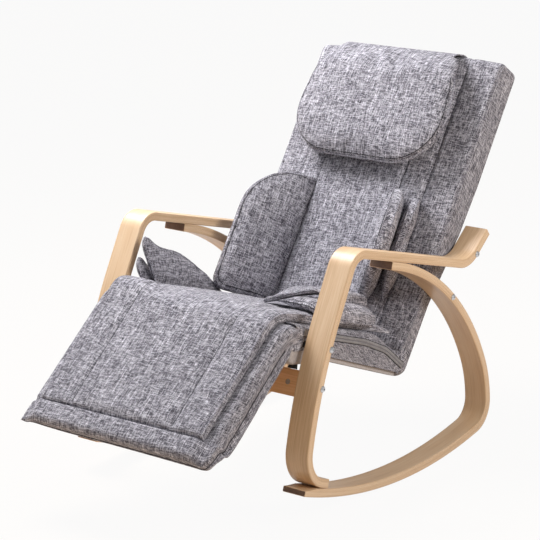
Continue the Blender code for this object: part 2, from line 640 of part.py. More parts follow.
lathe(bm, BACK.at(0, CARRIAGE_S - 0.032, -0.069 + GAP + 0.0125), Vector((0, *BACK.s)),
      ((0, 0), (0.0125, 0), (0.0125, 0.048), (0.006, 0.052), (0.006, 0.060), (0, 0.060)), 14)
solid("massage_motor", bm, ((0.5, 0.5, 0.5), 0.35, 1.0))
for side, hand in (("right", 1), ("left", -1)):
    bm = bmesh.new()
    hub = BACK.at(hand * HEAD_X, CARRIAGE_S, -0.069 + GAP)
    lathe(bm, hub, out, ((0, 0), (0.036, 0), (0.036, 0.007), (0, 0.007)), 18)
    head = hang(solid("massage_head_" + side, bm, ((0.10, 0.10, 0.11), 0.45)), hub)
    for k in (1, -1):
        bm = bmesh.new()
        base_at = hub + Vector((0, *BACK.s)) * 0.021 * k + out * 0.003
        lathe(bm, base_at, out, ((0, 0), (0.012, 0), (0.012, 0.016), (0.0085, 0.0225), (0, 0.0245)), 12)
        combine(head, solid("knob", bm, None, True), 'UNION')

# Head pillow and the strap that carries it over the top of the back
half, bot, top = PILLOW_HALF, PILLOW_LOW, PILLOW_TOP
neck = half - 0.036
brow = half - 0.007
coarse, fine = math.radians(30), math.radians(18)
pill = ([(-half, 0.50)] + corner((-half, 0.50), (-half, bot), (0, bot), 0.100, fine) + [(0, bot)]
        + corner((0, bot), (half, bot), (half, 0.50), 0.100, fine) + [(half, 0.50), (brow, 0.57)]
        + corner((brow, 0.57), (neck, top), (0, top), 0.040, coarse) + [(0, top)]
        + corner((0, top), (-neck, top), (-brow, 0.57), 0.040, coarse) + [(-brow, 0.57)])
pillow = pad("head_pillow", pill, (0, 0.520), lambda a, b: PILLOW_FRONT, lambda a, b: PILLOW_BACK,
             lambda a, b, c: BACK.at(a, b, PILLOW_MID + c), (CLOTH, 0.95))
hang(pillow, BACK.at(0, PILLOW_TOP, PILLOW_MID))
reach = 2 * GAP + STRAP_T / 2
top_r, rear_r = 0.026 + reach, 0.018 + reach
rear_c, top_c = (BACK_TOP + 0.002 - 0.018, BACK_REAR + 0.018), (BACK_TOP - 0.026, -0.026)
strap_path = [(0.600, BACK_REAR - reach)] + arc(rear_c, rear_r, -math.pi / 2, 0, 3) \
    + arc(top_c, top_r, 0, math.radians(32), 2) \
    + [(PILLOW_TOP + 0.016, 0.008), (PILLOW_TOP + 0.0009, PILLOW_MID - 0.0005)]
strap_path = [BACK.yz(*p) for p in strap_path]
HEM = 0.0005                 # half thickness of the strap where it is sewn to the pillow
strap_half = lambda e: HEM + (STRAP_T / 2 - HEM) * ease(e, 0.0, 0.020)
plate("pillow_strap", band(strap_path, strap_half, strap_half), 0, STRAP_HALF, (CLOTH, 0.95))


# Waist pads: an inner and an outer one stand out of the back on each side
def waist_outline(wide, low, high, lean):
    tip = high - 0.014
    return ([(low, 0.0), (0.5 * (low + high), 0.0), (high, 0.0)]
            + corner((high - 0.005, 0.0), (tip, wide), (low + lean, wide), 0.85 * wide, math.radians(13))
            + corner((tip, wide), (low + lean, wide), (low, 0.0), 0.27 * wide, math.radians(20))
            + [(low + 0.3 * lean, 0.3 * wide)])


def waist_pad(name, hand, x, tilt, outline, centre, swell):
    a = math.radians(tilt)
    root = BACK.at(hand * x, 0, proud(x) + 0.0006)
    along = Vector((0, *BACK.s))
    away = Vector((hand * math.sin(a), *(math.cos(a) * v for v in BACK.n)))
    face = Vector((-hand * math.cos(a), *(math.sin(a) * v for v in BACK.n)))
    puff = lambda s, w: swell * (0.16 + 0.84 * ease(w, 0.0, 0.034))
    hang(pad(name, outline, centre, puff, puff,
             lambda s, w, c: root + along * s + away * w + face * c, (CLOTH, 0.95)), root)


WAIST_W, SIDE_W = 0.160, 0.104
for side, hand, low, lean in (("right", 1, 0.024, 0.058), ("left", -1, 0.004, -0.012)):
    inner = waist_outline(WAIST_W, low, 0.326, lean)
    waist_pad("waist_pad_inner_" + side, hand, WAIST_X, WAIST_TILT, inner, (0.165, 0.5 * WAIST_W), WAIST_T)
    outer = waist_outline(SIDE_W, low + 0.026, 0.318, lean)
    waist_pad("waist_pad_outer_" + side, hand, SIDE_X, SIDE_TILT, outer, (0.180, 0.5 * SIDE_W), SIDE_T)


# Hip pads: flaps along both sides of the seat, bent across their width
def hip_pad(name, hand, root_x, root_h, outline, centre, bend, swell=HIP_T):
    """bend(t, b) is the direction of the flap, in degrees, at b across it: 0 outwards, 90 up, 180 inwards."""
    def place(t, b, c):
        x, v, n = root_x, root_h, 24
        for i in range(n):
            a = math.radians(bend(t, b * (i + 0.5) / n))
            x, v = x + math.cos(a) * b / n, v + math.sin(a) * b / n
        a = math.radians(bend(t, b))
        return SEAT.at(hand * (x - math.sin(a) * c), t, v + math.cos(a) * c)
    puff = lambda t, b: swell * (0.16 + 0.84 * ease(b, 0.0, 0.022))
    return pad(name, outline, centre, puff, puff, place, (CLOTH, 0.95))


def lower_outline(t0, t1, wide):
    return ([(t0, 0), (0.5 * (t0 + t1), 0), (t1, 0)] + corner((t1, 0), (t1, wide), (t0, wide), 0.028, coarse)
            + [(0.5 * (t0 + t1), wide)] + corner((t1, wide), (t0, wide), (t0, 0), 0.040, coarse))


def flap_outline(t0, t1, tip, tall, fall):
    """A flap that stands highest at its front end (tip) and falls away to the rear."""
    n = 8
    root = [(t0 + (t1 - t0) * i / 5, 0.0) for i in range(6)]
    front = [(t1 + (tip - t1) * ease(f, -0.2, 1.0), tall * f) for f in (0.25, 0.5, 0.75)]
    top = [(tip - 0.006 - (tip - t0) * i / n, tall * (1 - i / n) ** fall) for i in range(n)]
    return root + front + top


SEWN = 2 * GAP               # a sewn edge stands this far off the cloth it is sewn to
LOWER_RIGHT_H, LOWER_RIGHT_T = 0.0190, 0.0163
UPPER_LEFT_X, UPPER_LEFT_H = SEAT_PAD_HALF - 0.013, 0.0006 + SEWN
UPPER_RIGHT_X, UPPER_RIGHT_H = SEAT_PAD_HALF - 0.021, LOWER_RIGHT_H + LOWER_RIGHT_T + SEWN
flap = hip_pad("hip_pad_upper_left", -1, UPPER_LEFT_X, UPPER_LEFT_H,
               flap_outline(0.080, 0.345, 0.384, 0.106, 0.85), (0.275, 0.038), lambda t, b: 75)
hang(flap, SEAT.at(-UPPER_LEFT_X, 0.2, UPPER_LEFT_H))
hip_pad("hip_pad_lower_left", -1, SEAT_PAD_HALF + 0.0015, base_h + SEWN,
        flap_outline(0.075, 0.330, 0.374, 0.082, 0.75), (0.265, 0.031), lambda t, b: 71, 0.006)
right_upper = ([(0.098 + 0.177 * i / 4, 0.0) for i in range(5)]
               + [(0.292, 0.022), (0.306, 0.055), (0.324, 0.090)]
               + corner((0.324, 0.090), (0.352, 0.136), (0.110, 0.138), 0.012, coarse)
               + [(0.280, 0.137), (0.220, 0.138), (0.160, 0.138)]
               + corner((0.160, 0.140), (0.096, 0.138), (0.096, 0.02), 0.016, coarse)
               + [(0.096, 0.085), (0.096, 0.045)])
flap = hip_pad("hip_pad_upper_right", 1, UPPER_RIGHT_X, UPPER_RIGHT_H, right_upper, (0.205, 0.072),
               lambda t, b: 88 + (96 + 32 * ease(t, 0.2, 0.34)) * ease(b, 0.008, 0.056))
hang(flap, SEAT.at(UPPER_RIGHT_X, 0.2, UPPER_RIGHT_H))
hip_pad("hip_pad_lower_right", 1, SEAT_PAD_HALF - 0.097, LOWER_RIGHT_H, lower_outline(0.088, 0.330, 0.130),
        (0.205, 0.066), lambda t, b: -34 * ease(b, 0.075, 0.125), LOWER_RIGHT_T)


# Leg rest: padding on a board, turning about the knee on two hinges
def knee_at(r, a):
    return LEG.yz(-r * math.sin(a), r * math.cos(a))


reach_a = LIP + math.radians(LEG_SWING + 4)
turns = [reach_a * (1 - i / 8) for i in range(9)]


def leg_ring(x):
    past = max(0.0, abs(x) - (LEG_HALF - TOE_R))
    toe = LEG_LEN - TOE_R + math.sqrt(max(0.0, TOE_R ** 2 - past ** 2))

    def at(t, n, r, w):
        if t > TOE_FROM:
            t = TOE_FROM + (t - TOE_FROM) * (toe - TOE_FROM) / (LEG_LEN - TOE_FROM)
        return (*LEG.yz(t, n), r, w)
    bottom = BOARD_T + GAP
    notch = [(*knee_at(NOTCH_R, a), 0, 0) for a in (-math.acos(bottom / NOTCH_R), 0.35, reach_a)]
    rim = [at(TOE_STEP, bottom, 0, 0.3), at(TOE_STEP + 0.008, bottom, 0.006, 0.6),
           at(TOE_NOSE - 0.006, TOE_LOW, 0.012, 1), at(TOE_NOSE, 0.5 * (TOE_LOW + TOE_TOP), 0, 1),
           at(TOE_NOSE - 0.004, TOE_TOP, 0.018, 1), at(TOE_STEP, TOE_TOP - 0.001, 0, 0.5),
           at(TOE_STEP, LEG_T, 0, 0.5), at(0.15, LEG_T, 0, 1)]
    roll = [(*knee_at(LEG_T, a), 0, min(1.0, 0.2 + 2 * (1 - a / reach_a))) for a in turns[::-1]]
    return rounded(notch[:1] + rim + roll + notch[:0:-1])


knee_axis = WORLD.at(0, *KNEE)
leg_x = (0.12, LEG_HALF - 0.049, LEG_HALF - 0.028)
hang(sweep("leg_rest_base", leg_ring, LEG_HALF, 0.014, leg_x, (CLOTH, 0.95)), knee_axis)
bm = bmesh.new()
box(bm, LEG, (0.018 - LEG_HALF, 0.016, 0), (LEG_HALF - 0.018, TOE_STEP - 0.005, BOARD_T))
hang(solid("leg_rest_board", bm, ((0.35, 0.32, 0.30), 0.9)), knee_axis)


def calf_ring(x):
    a = abs(x)
    dip = 0.0035 * max(0.0, 1 - abs(a - CALF_SEAM) / 0.012)
    top = LEG_T + GAP + CALF_T - dip
    lip = LIP - math.radians(0.5)
    over = [(*knee_at(CALF_R - dip, lip * i / 5), 0.009 if i == 5 else 0, 0.9) for i in range(6)]
    inner = [(*knee_at(LEG_T + 2 * GAP, lip * (1 - i / 6)), 0, 0.2) for i in range(7)]
    rim = [(CALF_END, LEG_T + 2 * GAP, 0, 0.2), (CALF_END, top - 0.002, 0.009, 0.9),
           (0.20, top - 0.002, 0, 1), (0.08, top, 0, 1)]
    return rounded(inner + [(*LEG.yz(t, n), r, w) for t, n, r, w in rim] + over)


calf_x = (0.07, CALF_SEAM - 0.012, CALF_SEAM, CALF_SEAM + 0.012, CALF_HALF - 0.034)
hang(sweep("calf_pad", calf_ring, CALF_HALF, 0.008, calf_x, (CLOTH, 0.95)), knee_axis)

# Hinges of the leg rest
def hinge_leaf(name, x, frame_, spans, clear):
    b, barrels, gaps, bore = bmesh.new(), bmesh.new(), bmesh.new(), bmesh.new()
    box(b, frame_, (x - HINGE_HALF, 0.002, -0.0028), (x + HINGE_HALF, 0.046, -GAP))
    for lo, hi in spans:
        cylinder(barrels, WORLD.at(x + lo, *KNEE), WORLD.at(x + hi, *KNEE), BARREL_R, 14)
    for lo, hi in clear:
        cylinder(gaps, WORLD.at(x + lo, *KNEE), WORLD.at(x + hi, *KNEE), BARREL_R + 0.001, 14)
    cylinder(bore, WORLD.at(x - 0.04, *KNEE), WORLD.at(x + 0.04, *KNEE), PIN_R + GAP, 14)
    leaf = solid(name, b, ((0.5, 0.5, 0.51), 0.35, 1.0))
    combine(leaf, solid(name + "_barrels", barrels, None, True), 'UNION')
    cut(leaf, solid(name + "_gaps", gaps, None, True), solid(name + "_bore", bore, None, True))
    return leaf


KNUCKLE, KNUCKLE_GAP = 0.010, 0.0005
outer = ((-HINGE_HALF, -KNUCKLE - KNUCKLE_GAP), (KNUCKLE + KNUCKLE_GAP, HINGE_HALF))
middle = ((-KNUCKLE, KNUCKLE),)
for side, x in (("right", HINGE_X), ("left", -HINGE_X)):
    hinge_leaf("hinge_leaf_seat_" + side, x, PAN, outer, ((-KNUCKLE - KNUCKLE_GAP, KNUCKLE + KNUCKLE_GAP),))
    leaf = hinge_leaf("hinge_leaf_leg_" + side, x, LEG, middle,
                      ((-HINGE_HALF - 0.001, -KNUCKLE), (KNUCKLE, HINGE_HALF + 0.001)))
    hang(leaf, knee_axis)
    bm = bmesh.new()
    cylinder(bm, WORLD.at(x - HINGE_HALF, *KNEE), WORLD.at(x + HINGE_HALF, *KNEE), PIN_R, 12)
    solid("hinge_pin_" + side, bm, ((0.6, 0.6, 0.61), 0.3, 1.0))
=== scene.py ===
# Looks of the massage rocking chair: bent birch strips, heather grey upholstery, and its trim.
import bpy
import bmesh
import json
import math
import numpy as np
from mathutils import Matrix, Vector, noise

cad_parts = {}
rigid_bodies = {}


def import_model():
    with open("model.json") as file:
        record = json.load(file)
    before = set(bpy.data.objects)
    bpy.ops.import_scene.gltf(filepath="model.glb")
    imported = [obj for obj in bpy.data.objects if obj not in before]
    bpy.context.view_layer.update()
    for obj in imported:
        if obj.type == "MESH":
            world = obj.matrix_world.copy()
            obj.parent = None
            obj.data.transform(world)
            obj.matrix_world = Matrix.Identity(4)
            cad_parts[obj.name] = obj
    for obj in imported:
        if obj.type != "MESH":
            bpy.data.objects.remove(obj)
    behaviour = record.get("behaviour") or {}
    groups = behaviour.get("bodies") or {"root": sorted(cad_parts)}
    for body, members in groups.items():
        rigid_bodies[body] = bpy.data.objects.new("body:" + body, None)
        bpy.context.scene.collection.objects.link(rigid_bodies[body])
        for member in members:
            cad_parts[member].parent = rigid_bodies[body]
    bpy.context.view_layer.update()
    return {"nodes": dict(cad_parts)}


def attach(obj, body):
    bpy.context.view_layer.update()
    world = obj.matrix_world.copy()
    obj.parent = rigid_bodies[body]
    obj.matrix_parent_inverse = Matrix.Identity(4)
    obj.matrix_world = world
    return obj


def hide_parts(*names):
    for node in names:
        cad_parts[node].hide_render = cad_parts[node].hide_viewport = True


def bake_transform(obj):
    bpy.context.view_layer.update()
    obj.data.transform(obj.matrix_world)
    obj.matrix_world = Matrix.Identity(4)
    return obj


for old in list(bpy.data.objects):
    bpy.data.objects.remove(old)
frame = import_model()
scene = bpy.context.scene
nodes = frame["nodes"]

# Sizes; most of them are those of the solids
Y_MID = 0.03743
FRAME_W, STRIP_W, STRIP_T = 0.650, 0.060, 0.020
REAR_START, REAR_HEADING = (0.0193, 0.5206), -13.66
REAR_BENDS = ((0.6407, 13.11), (0.581, 37.83), (0.2818, 21.89), (0.0579, 81.97), (1.3195, 31.12))
TOE_TAPER, TOE_T = 0.050, 0.013
ARM_TIP, ARM_REAR, ARM_FRONT = (0.428, 0.517), (0.347, 0.4536), (-0.119, 0.577)
LEG_MID, LEG_LOW = (-0.2555, 0.320), (-0.286, 0.177)
FOOT_Y, FOOT_END = -0.237, -0.219
ARM_REAR_R, ARM_FRONT_R, LEG_R, FOOT_R = 0.075, 0.047, 1.0, 0.073
GAP = 0.0003
HALF = 0.252
KNEE, PAN_SLOPE, PAN_T, PAN_END = (-0.266, 0.378), -21.15, 0.009, 0.4465
SEAT_SLOPE, SEAT_REAR, SEAT_PAD_T, SEAT_PAD_HALF = 162.8, (0.171, 0.330), 0.020, 0.225
BACK_SLOPE, BACK_FOOT, BACK_TOP, BACK_EDGE, BACK_REAR = 56.2, (0.167, 0.333), 0.693, -0.033, -0.116
BACK_SEAMS, SEAM_DIP = (0.117, 0.180), 0.004
CROOK, CREASE, CREASE_TOP = (0.158, 0.276), (0.276, 0.391), (0.403, 0.4955)
BASE_CORNER, BASE_REAR, BASE_BULGE = (0.196, 0.199), (0.300, 0.347), (0.394, 0.452)
LEG_SLOPE, LEG_HALF, LEG_LEN, LEG_T = 218.7, 0.254, 0.348, 0.058
CALF_T, CALF_R, CALF_SEAM = 0.018, 0.080, 0.140
TOE_STEP, TOE_R, TOE_FROM, CALF_END = 0.2910, 0.010, 0.200, 0.2895
TOE_LOW, TOE_TOP, TOE_NOSE = 0.032, 0.074, 0.3442
LEG_SWING, BOARD_T, NOTCH_R = 40.0, 0.008, 0.0095
PILLOW_HALF, PILLOW_LOW, PILLOW_TOP, PILLOW_MID = 0.210, 0.378, 0.668, 0.026
PILLOW_RIM, PILLOW_FRONT, PILLOW_BACK = 0.041, 0.027, 0.037
STRAP_HALF, STRAP_T = 0.160, 0.004
WAIST_X, WAIST_TILT, WAIST_T, WAIST_W = 0.119, 38.0, 0.022, 0.160
SIDE_X, SIDE_TILT, SIDE_T, SIDE_W = 0.172, 41.0, 0.013, 0.104
HIP_T = 0.009
ZIP_LINE, ZIP_HALF = ((-0.215, 0.4095), (0.025, 0.3295), (0.107, 0.291), (0.176, 0.236)), 0.0075


class Side:
    """A side view frame: s runs along, n stands out of the surface."""

    def __init__(self, origin, degrees, hand=1):
        a = math.radians(degrees)
        self.o, self.s = origin, (math.cos(a), math.sin(a))
        self.n = (-hand * math.sin(a), hand * math.cos(a))

    def yz(self, s, n):
        return (self.o[0] + self.s[0] * s + self.n[0] * n, self.o[1] + self.s[1] * s + self.n[1] * n)

    def local(self, p):
        d = (p[0] - self.o[0], p[1] - self.o[1])
        return (d[0] * self.s[0] + d[1] * self.s[1], d[0] * self.n[0] + d[1] * self.n[1])

    def at(self, x, s, n):
        y, z = self.yz(s, n)
        return Vector((x, y - Y_MID, z))


BACK, SEAT = Side(BACK_FOOT, BACK_SLOPE), Side(SEAT_REAR, SEAT_SLOPE, -1)
PAN, LEG = Side(KNEE, PAN_SLOPE), Side(KNEE, LEG_SLOPE, -1)
LIP = math.radians(LEG_SLOPE - SEAT_SLOPE)


# Shader building
class Val:
    """A shader value; arithmetic on it adds Math nodes."""

    def __init__(self, look, socket):
        self.look, self.socket = look, socket

    def do(self, how, a, b=0.0):
        return self.look.node("ShaderNodeMath", {"operation": how}, {0: a, 1: b})

    def __add__(self, o):
        return self.do('ADD', self, o)

    def __sub__(self, o):
        return self.do('SUBTRACT', self, o)

    def __rsub__(self, o):
        return self.do('SUBTRACT', o, self)

    def __mul__(self, o):
        return self.do('MULTIPLY', self, o)

    __radd__, __rmul__ = __add__, __mul__

    def __truediv__(self, o):
        return self.do('DIVIDE', self, o)

    def __pow__(self, o):
        return self.do('POWER', self, o)

    def __abs__(self):
        return self.do('ABSOLUTE', self)

    def fract(self):
        return self.do('FRACT', self)

    def floor(self):
        return self.do('FLOOR', self)

    def between(self, lo, hi):
        """0 below lo, 1 above hi, smooth in between."""
        return self.look.node("ShaderNodeMapRange", {"interpolation_type": 'SMOOTHSTEP'},
                              {"Value": self, "From Min": lo, "From Max": hi})


class Look:
    """A material with a Principled surface."""

    def __init__(self, name, rough=0.8, metal=0.0, **fixed):
        self.mat = bpy.data.materials.new(name)
        self.mat.use_nodes = True
        self.tree = self.mat.node_tree
        self.shader = self.tree.nodes["Principled BSDF"]
        self.shader.inputs["Roughness"].default_value = rough
        self.shader.inputs["Metallic"].default_value = metal
        for key, v in fixed.items():
            self.shader.inputs[key.replace("_", " ").title()].default_value = v

    def put(self, socket, v):
        if isinstance(v, Val):
            self.tree.links.new(v.socket, socket)
        elif v is not None:
            socket.default_value = (*v, 1.0) if socket.type == 'RGBA' and len(v) == 3 else v

    def node(self, kind, settings, inputs, out=0):
        nd = self.tree.nodes.new(kind)
        for key, v in settings.items():
            if key == "stops":
                ramp = nd.color_ramp
                while len(ramp.elements) < len(v):
                    ramp.elements.new(1.0)
                for el, (pos, rgb) in zip(ramp.elements, v):
                    el.position, el.color = pos, (*rgb, 1.0)
            else:
                setattr(nd, key, v)
        for key, v in inputs.items():
            self.put(nd.inputs[key], v)
        return Val(self, nd.outputs[out])

    def coord(self, which="Object"):
        return self.node("ShaderNodeTexCoord", {}, {}, which)

    def attribute(self, name):
        return self.node("ShaderNodeAttribute", {"attribute_name": name}, {}, "Vector")

    def split(self, vec):
        s = self.node("ShaderNodeSeparateXYZ", {}, {0: vec})
        return [Val(self, s.socket.node.outputs[i]) for i in range(3)]

    def vector(self, x, y):
        return self.node("ShaderNodeCombineXYZ", {}, {0: x, 1: y})

    def scaled(self, vec, scale, shift=(0, 0, 0)):
        return self.node("ShaderNodeMapping", {}, {"Vector": vec, "Scale": scale, "Location": shift})

    def noise(self, vec, scale=(1, 1, 1), detail=2.0, rough=0.5, shift=(0, 0, 0)):
        return self.node("ShaderNodeTexNoise", {}, {"Vector": self.scaled(vec, scale, shift), "Scale": 1.0,
                                                    "Detail": detail, "Roughness": rough})

    def mix(self, f, a, b):
        return self.node("ShaderNodeMix", {"data_type": 'RGBA'}, {0: f, 6: a, 7: b}, 2)

    def ramp(self, f, stops):
        return self.node("ShaderNodeValToRGB", {"stops": stops}, {0: f})

    def bump(self, height, distance, strength=1.0):
        n = self.node("ShaderNodeBump", {}, {"Strength": strength, "Distance": distance, "Height": height})
        self.put(self.shader.inputs["Normal"], n)

    def colour(self, v):
        self.put(self.shader.inputs["Base Color"], v)

    def roughness(self, v):
        self.put(self.shader.inputs["Roughness"], v)


# Materials: the pitch of the yarns, the plies of the strips and the size of a knot
WARP, WEFT, WANDER = 0.0013, 0.0014, 0.0006
PLY = 0.00166
KNOT = (0.0065, 0.0050, 0.0040)


def cloth_look(name, dark, mid, light, depth=0.0004):
    """Heather cloth in plain weave: each yarn changes tone along its length, with light slubs here and there,
    and painted shade darkens each yarn towards its sides; in metres of the UV map."""
    k = Look(name, 0.93, sheen_weight=0.08, sheen_roughness=0.5)
    uv = k.coord("UV")
    u, v, _ = k.split(uv)
    a = (u + k.noise(uv, (60, 25, 1), 1.0) * WANDER) / WARP
    b = (v + k.noise(uv, (25, 60, 1), 1.0, shift=(4.2, 8.1, 0.3)) * WANDER) / WEFT
    warp = k.noise(k.vector(a.floor() * 7.31, v * 48.0), detail=2.0).between(0.36, 0.64)
    weft = k.noise(k.vector(u * 60.0, b.floor() * 5.77 + 31.3), detail=2.0).between(0.36, 0.64)
    over = ((a.floor() + b.floor()) * 0.5).fract() * 2.0
    slub = k.noise(uv, (330, 9, 1), 1.0, shift=(3.1, 7.7, 0.4)).between(0.58, 0.70)
    cloud = k.noise(uv, (17, 9, 1), 2.0, shift=(1.4, 4.4, 0.2))
    fuzz = k.noise(uv, (2600, 2600, 1), 1.0, shift=(2.3, 3.7, 0.1))
    across, along = a.fract() - 0.5, b.fract() - 0.5
    # The round of each yarn: its bump, and painted shade that darkens the colour towards its sides
    round_and_shade = 1.0 - (across * across * over + along * along * (1.0 - over)) * 4.0
    yarn = warp * over + weft * (1.0 - over)
    tone = yarn * 0.98 + slub * 0.20 + cloud * 0.16 + fuzz * 0.16 + round_and_shade * 0.12 - 0.40
    k.colour(k.ramp(tone, [(0.0, dark), (0.45, mid), (0.95, light)]))
    k.bump(round_and_shade + tone * 0.5, depth, 0.8)
    return k.mat


def wood_look(name, pale, mid, dark, flat=None):
    """Lacquered birch; the grain space holds length, width and thickness. flat gives knots on a plain board,
    in its object space."""
    k = Look(name, 0.42, coat_weight=0.22, coat_roughness=0.32)
    g = k.coord() if flat else k.attribute("grain")
    x, y, t = k.split(g)
    wide = k.noise(g, (2.2, 26, 90), 3.0, 0.55)
    fine = k.noise(g, (9, 330, 330), 3.0, 0.6, (2.7, 1.1, 4.2))
    fleck = k.noise(g, (70, 520, 520), 1.0, 0.5, (7.3, 5.1, 0.6))
    base = k.ramp((wide * 0.55 + fine * 0.45).between(0.28, 0.74), [(0.0, dark), (0.5, mid), (1.0, pale)])
    base = k.mix(fleck.between(0.62, 0.80) * 0.25, base, dark)
    deep = tuple(0.42 * c for c in dark)
    if flat:
        for kx, ky, kz in flat:
            d = ((x - kx) / KNOT[0]) ** 2.0 + ((y - ky) / KNOT[1]) ** 2.0 + ((t - kz) / KNOT[2]) ** 2.0
            base = k.mix((1.0 - d.between(0.1, 1.3)) * 0.85, base, deep)
        k.bump(fine, 0.00012, 0.6)
    else:
        cell = t / PLY
        ply = k.node("ShaderNodeTexWhiteNoise", {"noise_dimensions": '1D'}, {"W": (cell + 20.5).floor()})
        glue = abs((cell + 0.5).fract() - 0.5).between(0.38, 0.47)
        base = k.mix((ply - 0.5) * 0.30 + 0.15, base, dark)
        base = k.mix(glue * 0.60, base, deep)
        k.bump(fine * 0.6 - glue * 0.5, 0.00012, 0.6)
    k.colour(base)
    k.roughness(fine * 0.16 + 0.34)
    return k.mat


def plain_look(name, rgb, rough, metal=0.0, grain=60, vary=0.12, depth=0.0001):
    """A finish with fine mottling, on object coordinates."""
    k = Look(name, rough, metal)
    co = k.coord()
    mott = k.noise(co, (grain, grain, grain), 3.0, 0.6)
    fine = k.noise(co, (9 * grain, 9 * grain, 9 * grain), 2.0, 0.5, (1.3, 4.1, 2.6))
    lo, hi = tuple(c * (1 - vary) for c in rgb), tuple(min(1.0, c * (1 + vary)) for c in rgb)
    k.colour(k.mix(mott.between(0.35, 0.65), lo, hi))
    k.roughness(fine * 0.2 + (rough - 0.1))
    k.bump(fine, depth, 0.5)
    return k.mat


DARK, MID, LIGHT = (0.060, 0.056, 0.072), (0.309, 0.297, 0.344), (0.89, 0.875, 0.95)
HEATHER = cloth_look("heather_cloth", DARK, MID, LIGHT)
# The sewn cords: the heather cloth made lighter, a painted highlight on their round
WELT_LIT = cloth_look("welt_cloth_painted_highlight", tuple(1.7 * c for c in DARK), tuple(1.15 * c for c in MID), LIGHT)
ZIP_CLOTH = cloth_look("zip_webbing", (0.24, 0.235, 0.245), (0.31, 0.30, 0.315), (0.40, 0.39, 0.405), 0.0003)
BIRCH = wood_look("bent_birch", (0.87, 0.665, 0.46), (0.79, 0.555, 0.34), (0.61, 0.385, 0.205))
END_GRAIN = wood_look("end_grain", (0.24, 0.13, 0.07), (0.18, 0.093, 0.05), (0.11, 0.055, 0.03))
# Dark lines of painted shade, laid in the seams and along the outer edges of the zip's tapes
SEAM_SHADE = plain_look("seam_shadow", (0.035, 0.033, 0.038), 0.95, grain=900)
STITCH = plain_look("stitch_thread", (0.30, 0.29, 0.32), 0.7, grain=900)
LINING = plain_look("lining_cloth", (0.50, 0.46, 0.45), 0.95, grain=240, vary=0.10, depth=0.0003)
STEEL = plain_look("zinc_steel", (0.62, 0.62, 0.63), 0.32, 1.0, grain=150)
BLACK_STEEL = plain_look("black_tube", (0.03, 0.03, 0.032), 0.42, 0.3, grain=90)
RUBBER = plain_look("black_rubber", (0.025, 0.025, 0.025), 0.8, grain=200)
PLASTIC = plain_look("black_plastic", (0.045, 0.045, 0.048), 0.55, grain=300)
rail_in = nodes["front_cross_rail"].matrix_world.inverted()
RAIL_WOOD = wood_look("rail_birch", (0.95, 0.58, 0.31), (0.88, 0.49, 0.24), (0.68, 0.35, 0.16),
                      [rail_in @ Vector(p) for p in ((0.150, -0.281, 0.345), (-0.060, -0.283, 0.330))])


# Outline helpers
def arc(centre, r, a0, a1, steps):
    return [(centre[0] + r * math.cos(a0 + (a1 - a0) * i / steps),
             centre[1] + r * math.sin(a0 + (a1 - a0) * i / steps)) for i in range(steps + 1)]


def corner(a, b, c, r, step=math.radians(5)):
    a, b, c = Vector(a), Vector(b), Vector(c)
    u, v = (a - b).normalized(), (c - b).normalized()
    turn = math.pi - u.angle(v)
    back = r * math.tan(turn / 2)
    mid = b + (u + v).normalized() * (r / math.cos(turn / 2))
    p, q = b + u * back, b + v * back
    a0, a1 = math.atan2(p.y - mid.y, p.x - mid.x), math.atan2(q.y - mid.y, q.x - mid.x)
    a1 += -2 * math.pi if a1 - a0 > math.pi else 2 * math.pi if a1 - a0 < -math.pi else 0
    return arc(mid, r, a0, a1, max(2, math.ceil(turn / step)))


def ease(v, lo, hi):
    f = min(1.0, max(0.0, (v - lo) / (hi - lo)))
    return f * f * (3 - 2 * f)


def lengths(pts):
    run = [0.0]
    for p, q in zip(pts, pts[1:]):
        run.append(run[-1] + math.dist(p[:2], q[:2]))
    return run


def spread(pts, n):
    """n + 1 points evenly along a line of points; all their values are carried along."""
    run, a = lengths(pts), np.array(pts, float)
    at = np.linspace(0, run[-1], n + 1)
    return [tuple(float(v) for v in row) for row in np.stack([np.interp(at, run, c) for c in a.T], 1)]


# Mesh helpers
def coords(mesh):
    co = np.empty(len(mesh.vertices) * 3, np.float32)
    mesh.vertices.foreach_get("co", co)
    return co.reshape(-1, 3).astype(float)


def set_coords(mesh, co):
    mesh.vertices.foreach_set("co", np.asarray(co, np.float32).ravel())
    mesh.update()


def normals(mesh):
    out = np.empty(len(mesh.vertices) * 3, np.float32)
    mesh.vertex_normals.foreach_get("vector", out)
    return out.reshape(-1, 3).astype(float)


def linked(name, data):
    """A new object in the scene."""
    ob = bpy.data.objects.new(name, data)
    scene.collection.objects.link(ob)
    return ob


def taken(ob):
    """The mesh of an object with its modifiers applied; the object itself goes."""
    out = bpy.data.meshes.new_from_object(ob.evaluated_get(bpy.context.evaluated_depsgraph_get()))
    bpy.data.objects.remove(ob)
    return out


def place(name, mesh, mat, smooth=math.radians(40)):
    mesh.name = name
    mesh.materials.append(mat)
    mesh.shade_smooth()
    mesh.set_sharp_from_angle(angle=smooth)
    return linked(name, mesh)


def mesh_from(verts, faces, uvs):
    """A closed mesh that faces outwards, with a UV for each face corner."""
    me = bpy.data.meshes.new("piece")
    me.from_pydata([tuple(v) for v in verts], [], faces)
    layer = me.uv_layers.new(name="UVMap")
    layer.data.foreach_set("uv", [c for f in uvs for uv in f for c in uv])
    me.validate()
    bm = bmesh.new()
    bm.from_mesh(me)
    bmesh.ops.recalc_face_normals(bm, faces=bm.faces)
    bm.to_mesh(me)
    bm.free()
    return me


def finer(mesh):
    """The mesh with one subdivision applied."""
    ob = linked("finer", mesh)
    m = ob.modifiers.new("smooth", 'SUBSURF')
    m.levels = m.render_levels = 1
    m.uv_smooth, m.use_limit_surface, m.quality = 'NONE', False, 1
    return taken(ob)


